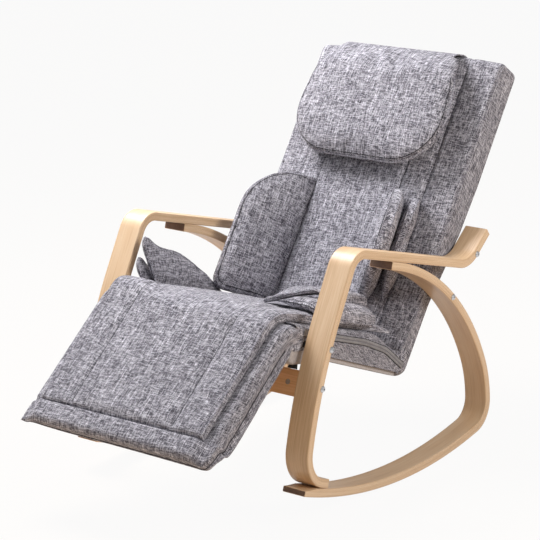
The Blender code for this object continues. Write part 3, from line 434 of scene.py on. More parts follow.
def merged(parts, mats):
    """One mesh from several, given as (mesh, material index)."""
    bm = bmesh.new()
    out = bpy.data.meshes.new("piece")
    for mat in mats:
        out.materials.append(mat)
    for me, index in parts:
        n = len(bm.faces)
        bm.from_mesh(me)
        bm.faces.ensure_lookup_table()
        for f in bm.faces[n:]:
            f.material_index = index
            f.smooth = True
    bm.to_mesh(out)
    bm.free()
    return out


def turned(mesh, test):
    """Turn the weave a quarter on the faces whose middle passes the test."""
    uv = mesh.uv_layers[0].data
    for face in mesh.polygons:
        if test(face.center):
            for i in face.loop_indices:
                u, v = uv[i].uv
                uv[i].uv = (v, u)


def row_tree():
    """Geometry nodes that set small round pieces along a line: stitches, or the teeth of the zip."""
    tree = bpy.data.node_groups.new("sewn_row", 'GeometryNodeTree')
    for name, kind in (("Geometry", 'NodeSocketGeometry'), ("Pitch", 'NodeSocketFloat'),
                       ("Length", 'NodeSocketFloat'), ("Thickness", 'NodeSocketFloat'),
                       ("Material", 'NodeSocketMaterial')):
        tree.interface.new_socket(name, in_out='INPUT', socket_type=kind)
    tree.interface.new_socket("Geometry", in_out='OUTPUT', socket_type='NodeSocketGeometry')

    def node(kind, inputs, **settings):
        nd = tree.nodes.new(kind)
        for key, v in settings.items():
            setattr(nd, key, v)
        for key, v in inputs.items():
            if isinstance(v, bpy.types.NodeSocket):
                tree.links.new(v, nd.inputs[key])
            else:
                nd.inputs[key].default_value = v
        return nd.outputs[0] if nd.outputs else nd

    given = tree.nodes.new("NodeGroupInput").outputs
    line = node("GeometryNodeMeshToCurve", {"Mesh": given["Geometry"]})
    dots = node("GeometryNodeResampleCurve", {"Curve": line, "Length": given["Pitch"]}, mode='LENGTH')
    tangent = node("GeometryNodeInputTangent", {})
    turn = node("FunctionNodeAlignRotationToVector", {"Vector": tangent}, axis='Z')
    thick = given["Thickness"]
    size = node("ShaderNodeCombineXYZ", {"X": thick, "Y": thick, "Z": given["Length"]})
    bead = node("GeometryNodeMeshUVSphere", {"Segments": 6, "Rings": 5, "Radius": 0.5})
    row = node("GeometryNodeInstanceOnPoints",
               {"Points": dots, "Instance": bead, "Rotation": turn, "Scale": size})
    real = node("GeometryNodeRealizeInstances", {"Geometry": row})
    look = node("GeometryNodeSetMaterial", {"Geometry": real, "Material": given["Material"]})
    node("NodeGroupOutput", {"Geometry": look})
    return tree


ROW = row_tree()


def sewn_row(line, pitch, length, thick, mat):
    """Small round pieces along a line, as a plain mesh."""
    me = bpy.data.meshes.new("row")
    me.from_pydata([tuple(p) for p in line], [(i, i + 1) for i in range(len(line) - 1)], [])
    ob = linked("row", me)
    m = ob.modifiers.new("row", 'NODES')
    m.node_group = ROW
    values = {"Pitch": pitch, "Length": length, "Thickness": thick, "Material": mat}
    for item in ROW.interface.items_tree:
        if item.in_out == 'INPUT' and item.name in values:
            m[item.identifier] = values[item.name]
    return taken(ob)


TUBE_END = 0.35                 # share of a cord's radius that is left at its ends


def tube(pts, r, seg=8):
    """A round cord along points, with a UV of girth and length."""
    p = np.array(pts, float)
    n = len(p)
    run = np.concatenate([[0], np.cumsum(np.linalg.norm(np.diff(p, axis=0), axis=1))])
    verts, faces, uvs = [], [], []
    side = None
    for i in range(n):
        d = p[min(i + 1, n - 1)] - p[max(i - 1, 0)]
        d = d / max(1e-9, np.linalg.norm(d))
        if side is None:
            side = np.cross(d, [0, 0, 1.0] if abs(d[2]) < 0.9 else [1.0, 0, 0])
        side = side - d * np.dot(side, d)
        side = side / max(1e-9, np.linalg.norm(side))
        up = np.cross(d, side)
        w = r if 0 < i < n - 1 else r * TUBE_END
        for j in range(seg):
            a = 2 * math.pi * j / seg
            verts.append(p[i] + w * (side * math.cos(a) + up * math.sin(a)))
    turn = 2 * math.pi * r / seg
    for i in range(n - 1):
        v0, v1 = run[i], run[i + 1]
        for j in range(seg):
            m = (j + 1) % seg
            faces.append((i * seg + j, (i + 1) * seg + j, (i + 1) * seg + m, i * seg + m))
            uvs.append(((j * turn, v0), (j * turn, v1), ((j + 1) * turn, v1), ((j + 1) * turn, v0)))
    for base, order in ((0, range(seg)), ((n - 1) * seg, range(seg - 1, -1, -1))):
        faces.append(tuple(base + j for j in order))
        uvs.append(tuple((j * turn, 0.0) for j in order))
    return mesh_from(verts, faces, uvs)


def smooth_line(pts, rounds=2):
    p = np.array(pts, float)
    for _ in range(rounds):
        q = p.copy()
        q[1:-1] = 0.25 * p[:-2] + 0.5 * p[1:-1] + 0.25 * p[2:]
        p = q
    return p


CLOTH_STIFF, CLOTH_BEND, CLOTH_FRAMES = 12.0, 0.6, 20


def puff(mesh, sewn, pressure, grow, cap):
    """A short cloth run: the sewn points hold, the rest swells and wrinkles by at most cap."""
    rest = coords(mesh)
    ob = linked("stuffing", mesh)
    group = ob.vertex_groups.new(name="sewn")
    for i in np.nonzero(sewn > 0)[0]:
        group.add([int(i)], float(sewn[i]), 'REPLACE')
    m = ob.modifiers.new("cloth", 'CLOTH')
    s = m.settings
    s.vertex_group_mass = "sewn"
    s.quality = 6
    s.mass = 0.3
    s.tension_stiffness = s.compression_stiffness = CLOTH_STIFF
    s.shear_stiffness = 0.5 * CLOTH_STIFF
    s.bending_stiffness = CLOTH_BEND
    s.tension_damping = s.compression_damping = 12.0
    s.air_damping = 4.0
    s.use_pressure = True
    s.uniform_pressure_force = pressure
    s.shrink_min = -grow
    s.effector_weights.gravity = 0.0
    m.collision_settings.use_collision = False
    m.point_cache.frame_start, m.point_cache.frame_end = 1, CLOTH_FRAMES
    for f in range(1, CLOTH_FRAMES + 1):
        scene.frame_set(f)
    out = taken(ob)
    now = coords(out)
    bpy.data.meshes.remove(out)
    scene.frame_set(1)
    move = now - rest
    size = np.linalg.norm(move, axis=1, keepdims=True)
    move *= np.minimum(1.0, cap / np.maximum(size, 1e-9))
    move *= (1.0 - np.asarray(sewn, float))[:, None]
    set_coords(mesh, rest + move)


def ripple(p, scale, seed):
    return noise.noise(Vector((p[0] * scale + seed, p[1] * scale - seed, p[2] * scale + 2 * seed)))


def push(mesh, amount):
    """Move the points along their normals."""
    set_coords(mesh, coords(mesh) + normals(mesh) * np.asarray(amount, float)[:, None])


def groove(d, width, depth):
    return -depth * math.exp(-(d / width) ** 2)


# Bent birch strips: the radius of their long edges, the flat beside it and the cut at their ends
STRIP_EDGE, STRIP_FLAT, END_CUT = 0.0022, 0.0015, 0.0012


def strip(name, path, x0, left, right, node, trim=None, seed=0.0):
    """A strip of bent plywood along a middle line; left and right give its reach, by distance to the end."""
    q, e, w = STRIP_EDGE, STRIP_FLAT, STRIP_W / 2
    run = lengths(path)
    bm = bmesh.new()
    grain = bm.verts.layers.float_vector.new("grain")
    rows = []

    def ring(p, d, l, r, s, inset):
        vs = []
        l, r, ww = l - inset, r - inset, w - inset
        for cx, ct, a0, (ax, at) in ((ww - q, l - q, 0, (0, e)), (q - ww, l - q, 90, (-e, 0)),
                                     (q - ww, q - r, 180, (0, -e)), (ww - q, q - r, 270, (e, 0))):
            pts = [(cx + q * math.cos(math.radians(a0 + a)), ct + q * math.sin(math.radians(a0 + a)))
                   for a in (0, 22.5, 45, 67.5, 90)]
            lead = (pts[0][0] - ax, pts[0][1] - at)
            tail = (pts[-1][0] - at, pts[-1][1] + ax)
            for x, t in [lead] + pts + [tail]:
                v = bm.verts.new((x0 + x, p[0] - d[1] * t - Y_MID, p[1] + d[0] * t))
                v[grain] = (s + seed, x + seed, t)
                vs.append(v)
        return vs

    for i, p in enumerate(path):
        a, b = path[max(i - 1, 0)], path[min(i + 1, len(path) - 1)]
        d = (Vector(b) - Vector(a)).normalized()
        to_end = run[-1] - run[i]
        l, r = left(to_end), right(to_end)
        if i == len(path) - 1 or i == 0:
            k = 1 if i == 0 else -1
            near = (p[0] + d.x * END_CUT * k, p[1] + d.y * END_CUT * k)
            two = [ring(p, d, l, r, run[i], END_CUT), ring(near, d, l, r, run[i], 0.0)]
            rows += two if i == 0 else two[::-1]
        else:
            rows.append(ring(p, d, l, r, run[i], 0.0))
    for a, b in zip(rows, rows[1:]):
        for i in range(len(a)):
            j = (i + 1) % len(a)
            bm.faces.new((a[i], a[j], b[j], b[i]))
    for end in (rows[0], rows[-1][::-1]):
        bm.faces.new(end).material_index = 1
    if trim:
        (y, z), slope = trim
        cut = bmesh.ops.bisect_plane(bm, geom=bm.verts[:] + bm.edges[:] + bm.faces[:],
                                     plane_co=(0, y - Y_MID, z), plane_no=(0, -slope, 1), clear_outer=True)
        edges = [g for g in cut["geom_cut"] if isinstance(g, bmesh.types.BMEdge)]
        bmesh.ops.edgeloop_fill(bm, edges=edges)
    bmesh.ops.recalc_face_normals(bm, faces=bm.faces)
    me = bpy.data.meshes.new(name)
    bm.to_mesh(me)
    bm.free()
    ob = place(name, me, BIRCH, math.radians(30))
    me.materials.append(END_GRAIN)
    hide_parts(node)
    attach(ob, "chair")


def bend_path(start, heading, bends):
    (y, z), h = start, math.radians(heading)
    path = [(y, z)]
    for r, turn in bends:
        n = max(4, math.ceil(turn / (4.0 if r < 0.1 else 0.6 if r > 1 else 1.3)))
        centre = (y + r * math.sin(h), z - r * math.cos(h))
        for _ in range(n):
            d = math.radians(turn) / n
            y, z = y + r * (math.sin(h) - math.sin(h - d)), z + r * (math.cos(h - d) - math.cos(h))
            h -= d
            path.append((y, z))
    return path, centre


half_t = STRIP_T / 2
rear_path, rocker_c = bend_path(REAR_START, REAR_HEADING, REAR_BENDS)
rocker_r = REAR_BENDS[-1][0] + half_t
floor_z = rocker_c[1] - rocker_r
rear_path = [(y, z - floor_z) for y, z in rear_path]
foot_r = rocker_r - STRIP_T - 3 * GAP - half_t
foot_a = math.asin((FOOT_Y - rocker_c[0]) / foot_r)
foot = (FOOT_Y, rocker_r - foot_r * math.cos(foot_a))
foot_s = math.tan(foot_a)
leg_s = (LEG_MID[1] - LEG_LOW[1]) / (LEG_MID[0] - LEG_LOW[0])
heel_y = (foot[1] - LEG_LOW[1] + leg_s * LEG_LOW[0] - foot_s * FOOT_Y) / (leg_s - foot_s)
heel = (heel_y, foot[1] + foot_s * (heel_y - FOOT_Y))
foot_end = (FOOT_END, foot[1] + foot_s * (FOOT_END - FOOT_Y))
front_path = ([ARM_TIP] + corner(ARM_TIP, ARM_REAR, ARM_FRONT, ARM_REAR_R, math.radians(3))
              + corner(ARM_REAR, ARM_FRONT, LEG_MID, ARM_FRONT_R, math.radians(4))
              + corner(ARM_FRONT, LEG_MID, heel, LEG_R, math.radians(1))
              + corner(LEG_MID, heel, foot_end, FOOT_R, math.radians(4)) + [foot_end])
arm_slope = (ARM_FRONT[1] - ARM_REAR[1]) / (ARM_FRONT[0] - ARM_REAR[0])
under = half_t * math.hypot(1, arm_slope) + GAP
strip_x = FRAME_W / 2 - STRIP_W / 2
for side, hand in (("right", 1), ("left", -1)):
    strip("bent_arm_and_leg_" + side, front_path, hand * strip_x, lambda e: half_t, lambda e: half_t,
          "arm_leg_strip_" + side, seed=2.0 + hand)
    strip("bent_rocker_" + side, rear_path, hand * strip_x, lambda e: half_t,
          lambda e: half_t - (STRIP_T - TOE_T) * (1 - ease(e, 0.0, TOE_TAPER)), "rocker_strip_" + side,
          ((ARM_REAR[0], ARM_REAR[1] - under), arm_slope), 7.0 + hand)


STITCH_PITCH, STITCH_LEN, STITCH_T, STITCH_OUT = 0.0042, 0.0031, 0.0008, 0.0002


def piped(mesh, cords=(), seams=(), rows=(), shape=None):
    """The finished cover. cords are sewn on along runs of its points, given as (points, radius), in the
    lighter cloth with its painted highlight; seams are dark lines of painted shade, with the same; rows of
    stitches lie beside runs, given as (points, way to the side)."""
    fine = finer(mesh)
    if shape:
        shape(fine)
    co, nr = coords(fine), normals(fine)
    parts = [(fine, 0)]
    for ids, r in cords:
        parts.append((tube(smooth_line([co[i] + nr[i] * r * 0.35 for i in ids]), r), 1))
    for ids, r in seams:
        parts.append((tube(smooth_line([co[i] - nr[i] * r * 0.45 for i in ids], 1), r, seg=6), 2))
    for ids, off in rows:
        line = np.array([co[i] + nr[i] * STITCH_OUT for i in ids])
        way = np.gradient(line, axis=0)
        way /= np.maximum(1e-9, np.linalg.norm(way, axis=1))[:, None]
        line = line + off * np.cross(way, np.array([nr[i] for i in ids]))
        parts.append((sewn_row(smooth_line(line, 1), STITCH_PITCH, STITCH_LEN, STITCH_T, STITCH), 3))
    return merged(parts, [HEATHER, WELT_LIT, SEAM_SHADE, STITCH])


# Padded blocks: a side view ring carried across the chair
def drawn_in(ring, e):
    area = sum(a[0] * b[1] - b[0] * a[1] for a, b in zip(ring, ring[1:] + ring[:1]))
    k = 1 if area > 0 else -1
    out = []
    for i, p in enumerate(ring):
        a, c = ring[i - 1], ring[(i + 1) % len(ring)]
        d1 = Vector((p[0] - a[0], p[1] - a[1])).normalized()
        d2 = Vector((c[0] - p[0], c[1] - p[1])).normalized()
        n = Vector((-d1.y - d2.y, d1.x + d2.x)) * k
        n = n.normalized() if n.length > 1e-6 else n
        out.append((p[0] + n.x * e * p[2], p[1] + n.y * e * p[2]))
    return out


SIDE_U = 0.7                    # where the side faces start in the UV map, clear of the rest


class Block:
    """ring_at(x) gives the upper line, the far end, the lower line and the near end of the section at x,
    each as (y, z, pull); both lines run from the near to the far end."""

    def __init__(self, ring_at, half, r, inner, bulge=0.0, segs=4):
        right = [(x, 0.0, x) for x in inner if x > 0]
        for i in range(segs + 1):
            f = math.pi / 2 * i / segs
            right.append((half - r + r * math.sin(f), r * (1 - math.cos(f)), half - r + r * f))
        self.stations = [(-x, e, -u) for x, e, u in reversed(right)] + [(0.0, 0.0, 0.0)] + right
        top, far, low, near = ring_at(0.0)
        self.n, self.k = len(top), len(far)
        self.size = 2 * self.n + 2 * self.k
        mid = top + far + low[::-1] + near
        self.run = lengths(mid + mid[:1])
        verts, self.x, self.part, faces, uvs = [], [], [], [], []
        names = ["top"] * self.n + ["far"] * self.k + ["low"] * self.n + ["near"] * self.k
        for x, e, u in self.stations:
            top, far, low, near = ring_at(x)
            for i, (y, z) in enumerate(drawn_in(top + far + low[::-1] + near, e)):
                verts.append((x, y - Y_MID, z))
                self.x.append(u)
                self.part.append(names[i])
        self.cap0 = {}
        for side, row in ((-1, 0), (1, len(self.stations) - 1)):
            self.cap0[side] = len(verts)
            for i in range(1, self.n - 1):
                a, b = Vector(verts[self.ring(row, self.low(i))]), Vector(verts[self.ring(row, i)])
                for q in range(1, self.k + 1):
                    f = q / (self.k + 1)
                    p = a.lerp(b, f)
                    p.x += side * bulge * 4 * f * (1 - f)
                    verts.append(tuple(p))
                    self.x.append(side * (half + f))
                    self.part.append("side")
        for j in range(len(self.stations) - 1):
            u0, u1 = self.stations[j][2], self.stations[j + 1][2]
            for i in range(self.size):
                m = (i + 1) % self.size
                faces.append((self.ring(j, i), self.ring(j, m), self.ring(j + 1, m), self.ring(j + 1, i)))
                v0, v1 = self.run[i], self.run[i + 1]
                uvs.append(((u0, v0), (u0, v1), (u1, v1), (u1, v0)))
        for side in (-1, 1):
            for i in range(self.n - 1):
                for q in range(self.k + 1):
                    quad = [(i, q), (i + 1, q), (i + 1, q + 1), (i, q + 1)]
                    if side < 0:
                        quad = quad[::-1]
                    faces.append(tuple(self.cap(side, a, b) for a, b in quad))
                    tall = [math.dist(verts[self.cap(side, a, 0)], verts[self.cap(side, a, self.k + 1)])
                            for a, _ in quad]
                    uvs.append(tuple((SIDE_U + b / (self.k + 1) * w, self.run[a])
                                     for (a, b), w in zip(quad, tall)))
        self.mesh = mesh_from(verts, faces, uvs)
        self.x, self.part = np.array(self.x), np.array(self.part)

    def low(self, i):
        return 2 * self.n + self.k - 1 - i

    def ring(self, j, i):
        return j * self.size + i

    def cap(self, side, i, q):
        """A point of a side face: i along it, q from the lower edge up."""
        row = 0 if side < 0 else len(self.stations) - 1
        if q == 0:
            return self.ring(row, self.low(i))
        if q == self.k + 1:
            return self.ring(row, i)
        if i == 0:
            return self.ring(row, 2 * self.n + self.k + q - 1)
        if i == self.n - 1:
            return self.ring(row, self.n + self.k - q)
        return self.cap0[side] + (i - 1) * self.k + q - 1


def between(a, b, k):
    """k points between two points, both left out."""
    return [tuple(p + (q - p) * (i + 1) / (k + 1) for p, q in zip(a, b)) for i in range(k)]


def tagged(pts, w):
    return [(*p[:2], w) for p in pts]


# Seat base, an L of padding round the steel frame
pocket_r = LEG_T + 0.0008
knee_seat = SEAT.local(KNEE)
base_h = -SEAT_PAD_T - GAP
a_seat = math.radians(SEAT_SLOPE - 90)
a_pan = math.radians(PAN_SLOPE) + math.asin((PAN_T + GAP) / pocket_r)


def base_ring(x):
    pocket = arc(KNEE, pocket_r, a_seat, a_pan, 15)
    lift = 0.008 * ease(-x, 0.222, 0.245)
    top = ([(*SEAT.yz(knee_seat[0], base_h + lift), 0.1), (*SEAT.yz(knee_seat[0] - 0.03, base_h + lift), 0.8),
            (*SEAT.yz(0.280, base_h), 1), (*SEAT.yz(0.120, base_h), 1), (*SEAT.yz(0.075, -0.025), 1),
            (*SEAT.yz(0.030, -0.041), 1), (CROOK[0] + GAP, CROOK[1] - GAP, 0.4),
            (CREASE[0] + GAP, CREASE[1] - GAP, 0.4), (CREASE_TOP[0], CREASE_TOP[1] - 0.002, 0)])
    last = (CREASE_TOP[0] + 0.008, CREASE_TOP[1] + 0.002, 0)
    bottom = [(*pocket[-1], 0), (*PAN.yz(0.30, PAN_T + GAP), 0), (*PAN.yz(PAN_END + GAP, PAN_T + GAP), 0),
              (*PAN.yz(PAN_END + GAP, -0.001), 0.3)]
    bend = corner(bottom[-1][:2], BASE_CORNER, BASE_REAR, 0.030)
    bottom += tagged(bend, 1) + [(*BASE_REAR, 1), (*BASE_BULGE, 0.7), last]
    near = tagged(pocket[-2:0:-1], 0)
    return spread(top, 140), between(top[-1], last, 14), spread(bottom, 140), near


base = Block(base_ring, HALF, 0.026, (0.05, 0.10, 0.15, 0.20), 0.0, 9)
zip_path = spread(list(ZIP_LINE[:1]) + corner(*ZIP_LINE[:3], 0.12) + corner(*ZIP_LINE[1:], 0.10)
                  + list(ZIP_LINE[3:]), 120)
GATHER = LEG.yz(-0.066, -0.020)


def beside_zip(y, z):
    """Distance from the middle of the zip, above it positive, and the place along it."""
    i = min(range(len(zip_path)), key=lambda j: (zip_path[j][0] - y) ** 2 + (zip_path[j][1] - z) ** 2)
    a, b = zip_path[max(i - 1, 0)], zip_path[min(i + 1, len(zip_path) - 1)]
    d = Vector((b[0] - a[0], b[1] - a[1])).normalized()
    return -d.y * (y - zip_path[i][0]) + d.x * (z - zip_path[i][1]), i / (len(zip_path) - 1)


def drawn_to(y, z, x):
    """Folds that run to the point at the knee where the cover is sewn down."""
    d = math.dist((y, z), GATHER)
    a = math.atan2(z - GATHER[1], y - GATHER[0])
    wave = 0.0022 * math.sin(9 * a + 3 * ripple((x, y, z), 30, 1.0))
    return wave * ease(d, 0.004, 0.018) * ease(0.075 - d, 0.0, 0.05)


def shape_base(mesh):
    """Folds on the sides of the seat base; the cover is gathered into the zip on the right."""
    c = coords(mesh)
    for i in np.nonzero(np.abs(c[:, 0]) > 0.2515)[0]:
        x, y, z = c[i][0], c[i][1] + Y_MID, c[i][2]
        out = 0.0016 * ripple(c[i], 24, 1.0) + drawn_to(y, z, x)
        if x > 0:
            w, f = beside_zip(y, z)
            near = ease(0.030 - abs(w), 0.0, 0.020)
            pleat = math.sin(130 * f + 5 * ripple(c[i], 20, 3.0))
            pleat = pleat * ease(0.055 - w, 0.0, 0.035) * ease(w, 0.007, 0.012)
            out = out * (1 - near) + 0.0034 * pleat * ease(f, 0.1, 0.3)
            out += 0.0016 * ease(abs(w), ZIP_HALF, ZIP_HALF + 0.003) * ease(0.016 - abs(w), 0.0, 0.006)
            c[i][0] += max(out, -0.0015)
        else:
            c[i][0] -= out
    set_coords(mesh, c)


# Lining drawn round the front end of the seat pan, over the rail's bumpers
def lining_ring():
    top = [(*PAN.yz(s, PAN_T + 0.001), 0) for s in (0.004, 0.06, 0.125)]
    low = [(*PAN.yz(s, n), 1) for s, n in
           ((0.004, -0.010), (0.008, -0.021), (0.020, -0.026), (0.060, -0.020), (0.125, 0.004))]
    return spread(top, 24), between(top[-1], low[-1], 3), spread(low, 24), between(low[0], top[0], 3)


lining = Block(lambda x: lining_ring(), HALF - 0.001, 0.006, (0.06, 0.12, 0.18, 0.22), 0.0, 3)
ob = place("knee_lining", finer(lining.mesh), LINING)
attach(ob, "chair")


# Leg rest base with its roll at the toe
def knee_at(r, a):
    return LEG.yz(-r * math.sin(a), r * math.cos(a))


reach_a = LIP + math.radians(LEG_SWING + 4)


def leg_ring(x):
    past = max(0.0, x - (LEG_HALF - TOE_R))
    toe = LEG_LEN - TOE_R + math.sqrt(max(0.0, TOE_R ** 2 - past ** 2))
    firm = 1.0 - 0.7 * ease(abs(x), 0.10, 0.20)

    def at(t, n, w):
        if t > TOE_FROM:
            t = TOE_FROM + (t - TOE_FROM) * (toe - TOE_FROM) / (LEG_LEN - TOE_FROM)
        return (*LEG.yz(t, n), w)

    bottom = BOARD_T + GAP
    mid = 0.5 * (TOE_LOW + TOE_TOP)
    thick = LEG_T + 0.007 * ease(-x, 0.195, 0.235)
    rise = TOE_TOP + 0.0015 - (TOE_TOP - LEG_T) * ease(abs(x), 0.212, 0.246)
    low_n = TOE_LOW - 0.006 + 0.010 * ease(LEG_HALF - x, 0.0, 0.24) + 0.014 * ease(-x, 0.15, LEG_HALF)
    hem = -0.001 + (bottom + 0.001) * ease(abs(x), 0.200, 0.235)
    roll = [(*knee_at(thick, reach_a * (1 - i / 14)), 0.3 + 0.7 * i / 14) for i in range(15)]
    crest = corner((TOE_STEP, 0.03), (TOE_STEP, rise), (TOE_NOSE, rise), 0.0025, math.radians(15))
    nose = corner((TOE_STEP, rise), (TOE_NOSE - 0.003, rise), (TOE_NOSE, mid), 0.016, math.radians(10))
    top = roll + [at(0.15, thick, 1), at(TOE_STEP - 0.010, thick, 1)]
    top += [at(TOE_STEP - 0.0005, min(thick, rise), 1)] + [at(t, n, firm) for t, n in crest + nose]
    under_nose = corner((TOE_STEP + 0.008, bottom), (TOE_NOSE - 0.006, low_n), (TOE_NOSE, mid), 0.012,
                        math.radians(15))
    lower = [(*knee_at(NOTCH_R, reach_a), 0), (*knee_at(NOTCH_R, 0.35), 0),
             (*knee_at(NOTCH_R, -math.acos(bottom / NOTCH_R)), 0), at(0.15, bottom, 0), at(0.2855, bottom, 0),
             at(0.2868, hem, 0), at(TOE_STEP + 0.002, hem, 0.1), at(TOE_STEP + 0.008, bottom + 0.002, 0.4)] \
        + [at(t, n, firm) for t, n in under_nose]
    return spread(top, 90), between(top[-1], lower[-1], 7), spread(lower, 90), between(lower[0], top[0], 7)


leg_rest = Block(leg_ring, LEG_HALF, 0.018, (0.06, 0.12, 0.17, 0.195, 0.205, 0.215, 0.225), 0.0, 7)
turned(leg_rest.mesh, lambda c: LEG.local((c.y + Y_MID, c.z))[0] > TOE_STEP)
LIP_OUT, LIP_DROP, LIP_ROWS = 0.0075, 0.0070, 3.0
co = coords(leg_rest.mesh)
for side in (1, -1):
    for i in range(leg_rest.n):
        for q in range(leg_rest.k + 2):
            v = leg_rest.cap(side, i, q)
            t, n = LEG.local((co[v][1] + Y_MID, co[v][2]))
            along = ease(t, -0.03, 0.02) * ease(TOE_STEP + 0.034 - t, 0.0, 0.03)
            lip = ease(LIP_ROWS - q, 0.0, LIP_ROWS) * along
            out = LIP_OUT * lip - 0.0012 * along * math.exp(-(q - LIP_ROWS) ** 2)
            out += 0.003 * ease(q, LIP_ROWS, 2 * LIP_ROWS)
            y, z = LEG.yz(t, n - LIP_DROP * lip * ease(TOE_STEP - t, -0.005, 0.04))
            fold = drawn_to(y, z, co[v][0]) + 0.0012 * ripple(co[v], 26, 4.0)
            co[v] = (co[v][0] + side * (out + fold), y - Y_MID, z)
set_coords(leg_rest.mesh, co)


# Seat and calf pad, one cover from the back to the toe
def cover_ring(x):
    crown = 0.005 * (1 - (x / SEAT_PAD_HALF) ** 2)
    left = 0.014 * ease(-x, 0.08, 0.18)
    d = abs(abs(x) - CALF_SEAM)
    dip = 0.0030 * math.exp(-(d / 0.006) ** 2)
    top = [(*SEAT.yz(t, v), w) for t, v, w in
           ((0.004, -0.011, 0.5), (0.02, crown - 0.010, 0.7), (0.05, crown - 0.008, 0.8),
            (0.10, crown - 0.003, 0.9), (0.16, crown, 1), (0.28, crown, 1), (0.34, crown * 0.8, 1),
            (0.392, crown * 0.7 + left * 0.1, 1))]
    for f in (j / 12 for j in range(13)):
        hump = left * ease(1 - f, 0.0, 0.7) * ease(f, -0.25, 0.1)
        top.append((*knee_at(CALF_R - dip * f + crown * 0.5 * (1 - f) + hump, LIP * (1 - f)), 1))
    rise = LEG_T + GAP + CALF_T - dip
    top += [(*LEG.yz(0.08, rise + 0.002), 1), (*LEG.yz(0.20, rise), 1)]
    end = corner((0.20, rise), (CALF_END, rise), (CALF_END, LEG_T), 0.0030)
    top += tagged([LEG.yz(t, n) for t, n in end], 0.9)
    lower = [(*SEAT.yz(0.004, -SEAT_PAD_T), 0.1), (*SEAT.yz(knee_seat[0] - 0.01, -SEAT_PAD_T), 0.2)]
    lower += [(*knee_at(LEG_T + 2 * GAP, LIP * (1 - j / 12)), 0.2) for j in range(13)]
    lower += [(*LEG.yz(CALF_END, LEG_T + 2 * GAP), 0.2)]
    return spread(top, 110), between(top[-1], lower[-1], 2), spread(lower, 110), between(lower[0], top[0], 2)


cover_x = [0.035, 0.07, 0.10, 0.122, 0.131, 0.136, 0.140, 0.144, 0.149, 0.158, 0.175, 0.192, 0.205]
cover = Block(cover_ring, SEAT_PAD_HALF, 0.009, cover_x, 0.0015)
pinned = np.where(cover.part == "top", 0.0, 1.0)
pinned[(np.abs(np.abs(cover.x) - CALF_SEAM) < 0.006)] = 1.0
pinned[np.abs(cover.x) > 0.219] = 1.0
pinned[cover.x < -0.185] = 1.0
puff(cover.mesh, pinned, 2.0, 0.012, 0.0035)


# Back cushion
def proud(x):
    a = abs(x)
    dip = sum(SEAM_DIP * max(0.0, 1 - abs(a - s) / 0.013) ** 1.5 + 0.0022 * math.exp(-((a - s) / 0.0035) ** 2)
              for s in BACK_SEAMS)
    return BACK_EDGE * ease(a, BACK_SEAMS[0] - 0.03, HALF + 0.03) - dip


def back_ring(x):
    f = proud(x)
    c, d, e = BACK.local(CROOK), BACK.local(CREASE), BACK.local(CREASE_TOP)
    head = BACK_TOP + 0.004 * ease(x, 0.13, 0.20)
    nose = corner((0.6, f), (head, f), (head + 0.002, BACK_REAR), 0.022, math.radians(12))
    top = [(0.004, f, 0.1), (0.03, f, 0.5), (0.08, f, 1), (0.60, f, 1)] + [(s, n, 1) for s, n in nose]
    rear = corner((0.5, BACK_REAR), (head + 0.002, BACK_REAR), (head, 0), 0.014, math.radians(15))
    lower = [(c[0], c[1], 0), (d[0], d[1], 0.3), (e[0] + 0.004, e[1], 0.7), (0.40, BACK_REAR + 0.001, 1)] \
        + [(s, n, 1) for s, n in rear]
    to = lambda pts: [(*BACK.yz(s, n), w) for s, n, w in pts]
    return (spread(to(top), 96), between(to(top)[-1], to(lower)[-1], 5), spread(to(lower), 96),
            between(to(lower)[0], to(top)[0], 5))


back_x = [0.03, 0.06, 0.085, 0.10, 0.108, 0.113, 0.117, 0.121, 0.126, 0.135, 0.15, 0.163, 0.171, 0.176,
          0.180, 0.184, 0.189, 0.198, 0.21, 0.224]
QUILT, QUILT_SLANT = 0.155, 1.45
back = Block(back_ring, HALF, 0.007, back_x, 0.003)
co = coords(back.mesh)
co[:, 0] += np.sign(co[:, 0]) * 0.007 * np.clip((np.abs(co[:, 0]) - 0.20) / 0.05, 0.0, 1.0)
set_coords(back.mesh, co)
move = np.zeros(len(co))
for i in np.nonzero(back.part == "top")[0]:
    s, n = BACK.local((co[i][1] + Y_MID, co[i][2]))
    x = co[i][0]
    if abs(x) < BACK_SEAMS[0] and s < 0.42:
        for k in (1, -1):
            d = (s + k * QUILT_SLANT * x) / QUILT
            d = abs(d - round(d)) * QUILT / math.hypot(1, QUILT_SLANT)
            move[i] += groove(d, 0.006, 0.0016) * ease(BACK_SEAMS[0] - abs(x), 0.0, 0.02)
    move[i] += 0.0012 * ripple(co[i], 12, 5.0)
for i in np.nonzero(back.part == "side")[0]:
    move[i] += 0.0018 * ripple(co[i], 16, 2.0)
push(back.mesh, move)


# Stuffed pads with a sewn edge
RINGS = (1.0, 0.988, 0.968, 0.94, 0.90, 0.84, 0.76, 0.66, 0.54, 0.40, 0.26, 0.12)
SEWN_RIM, REAR_U = 0.985, 1.3


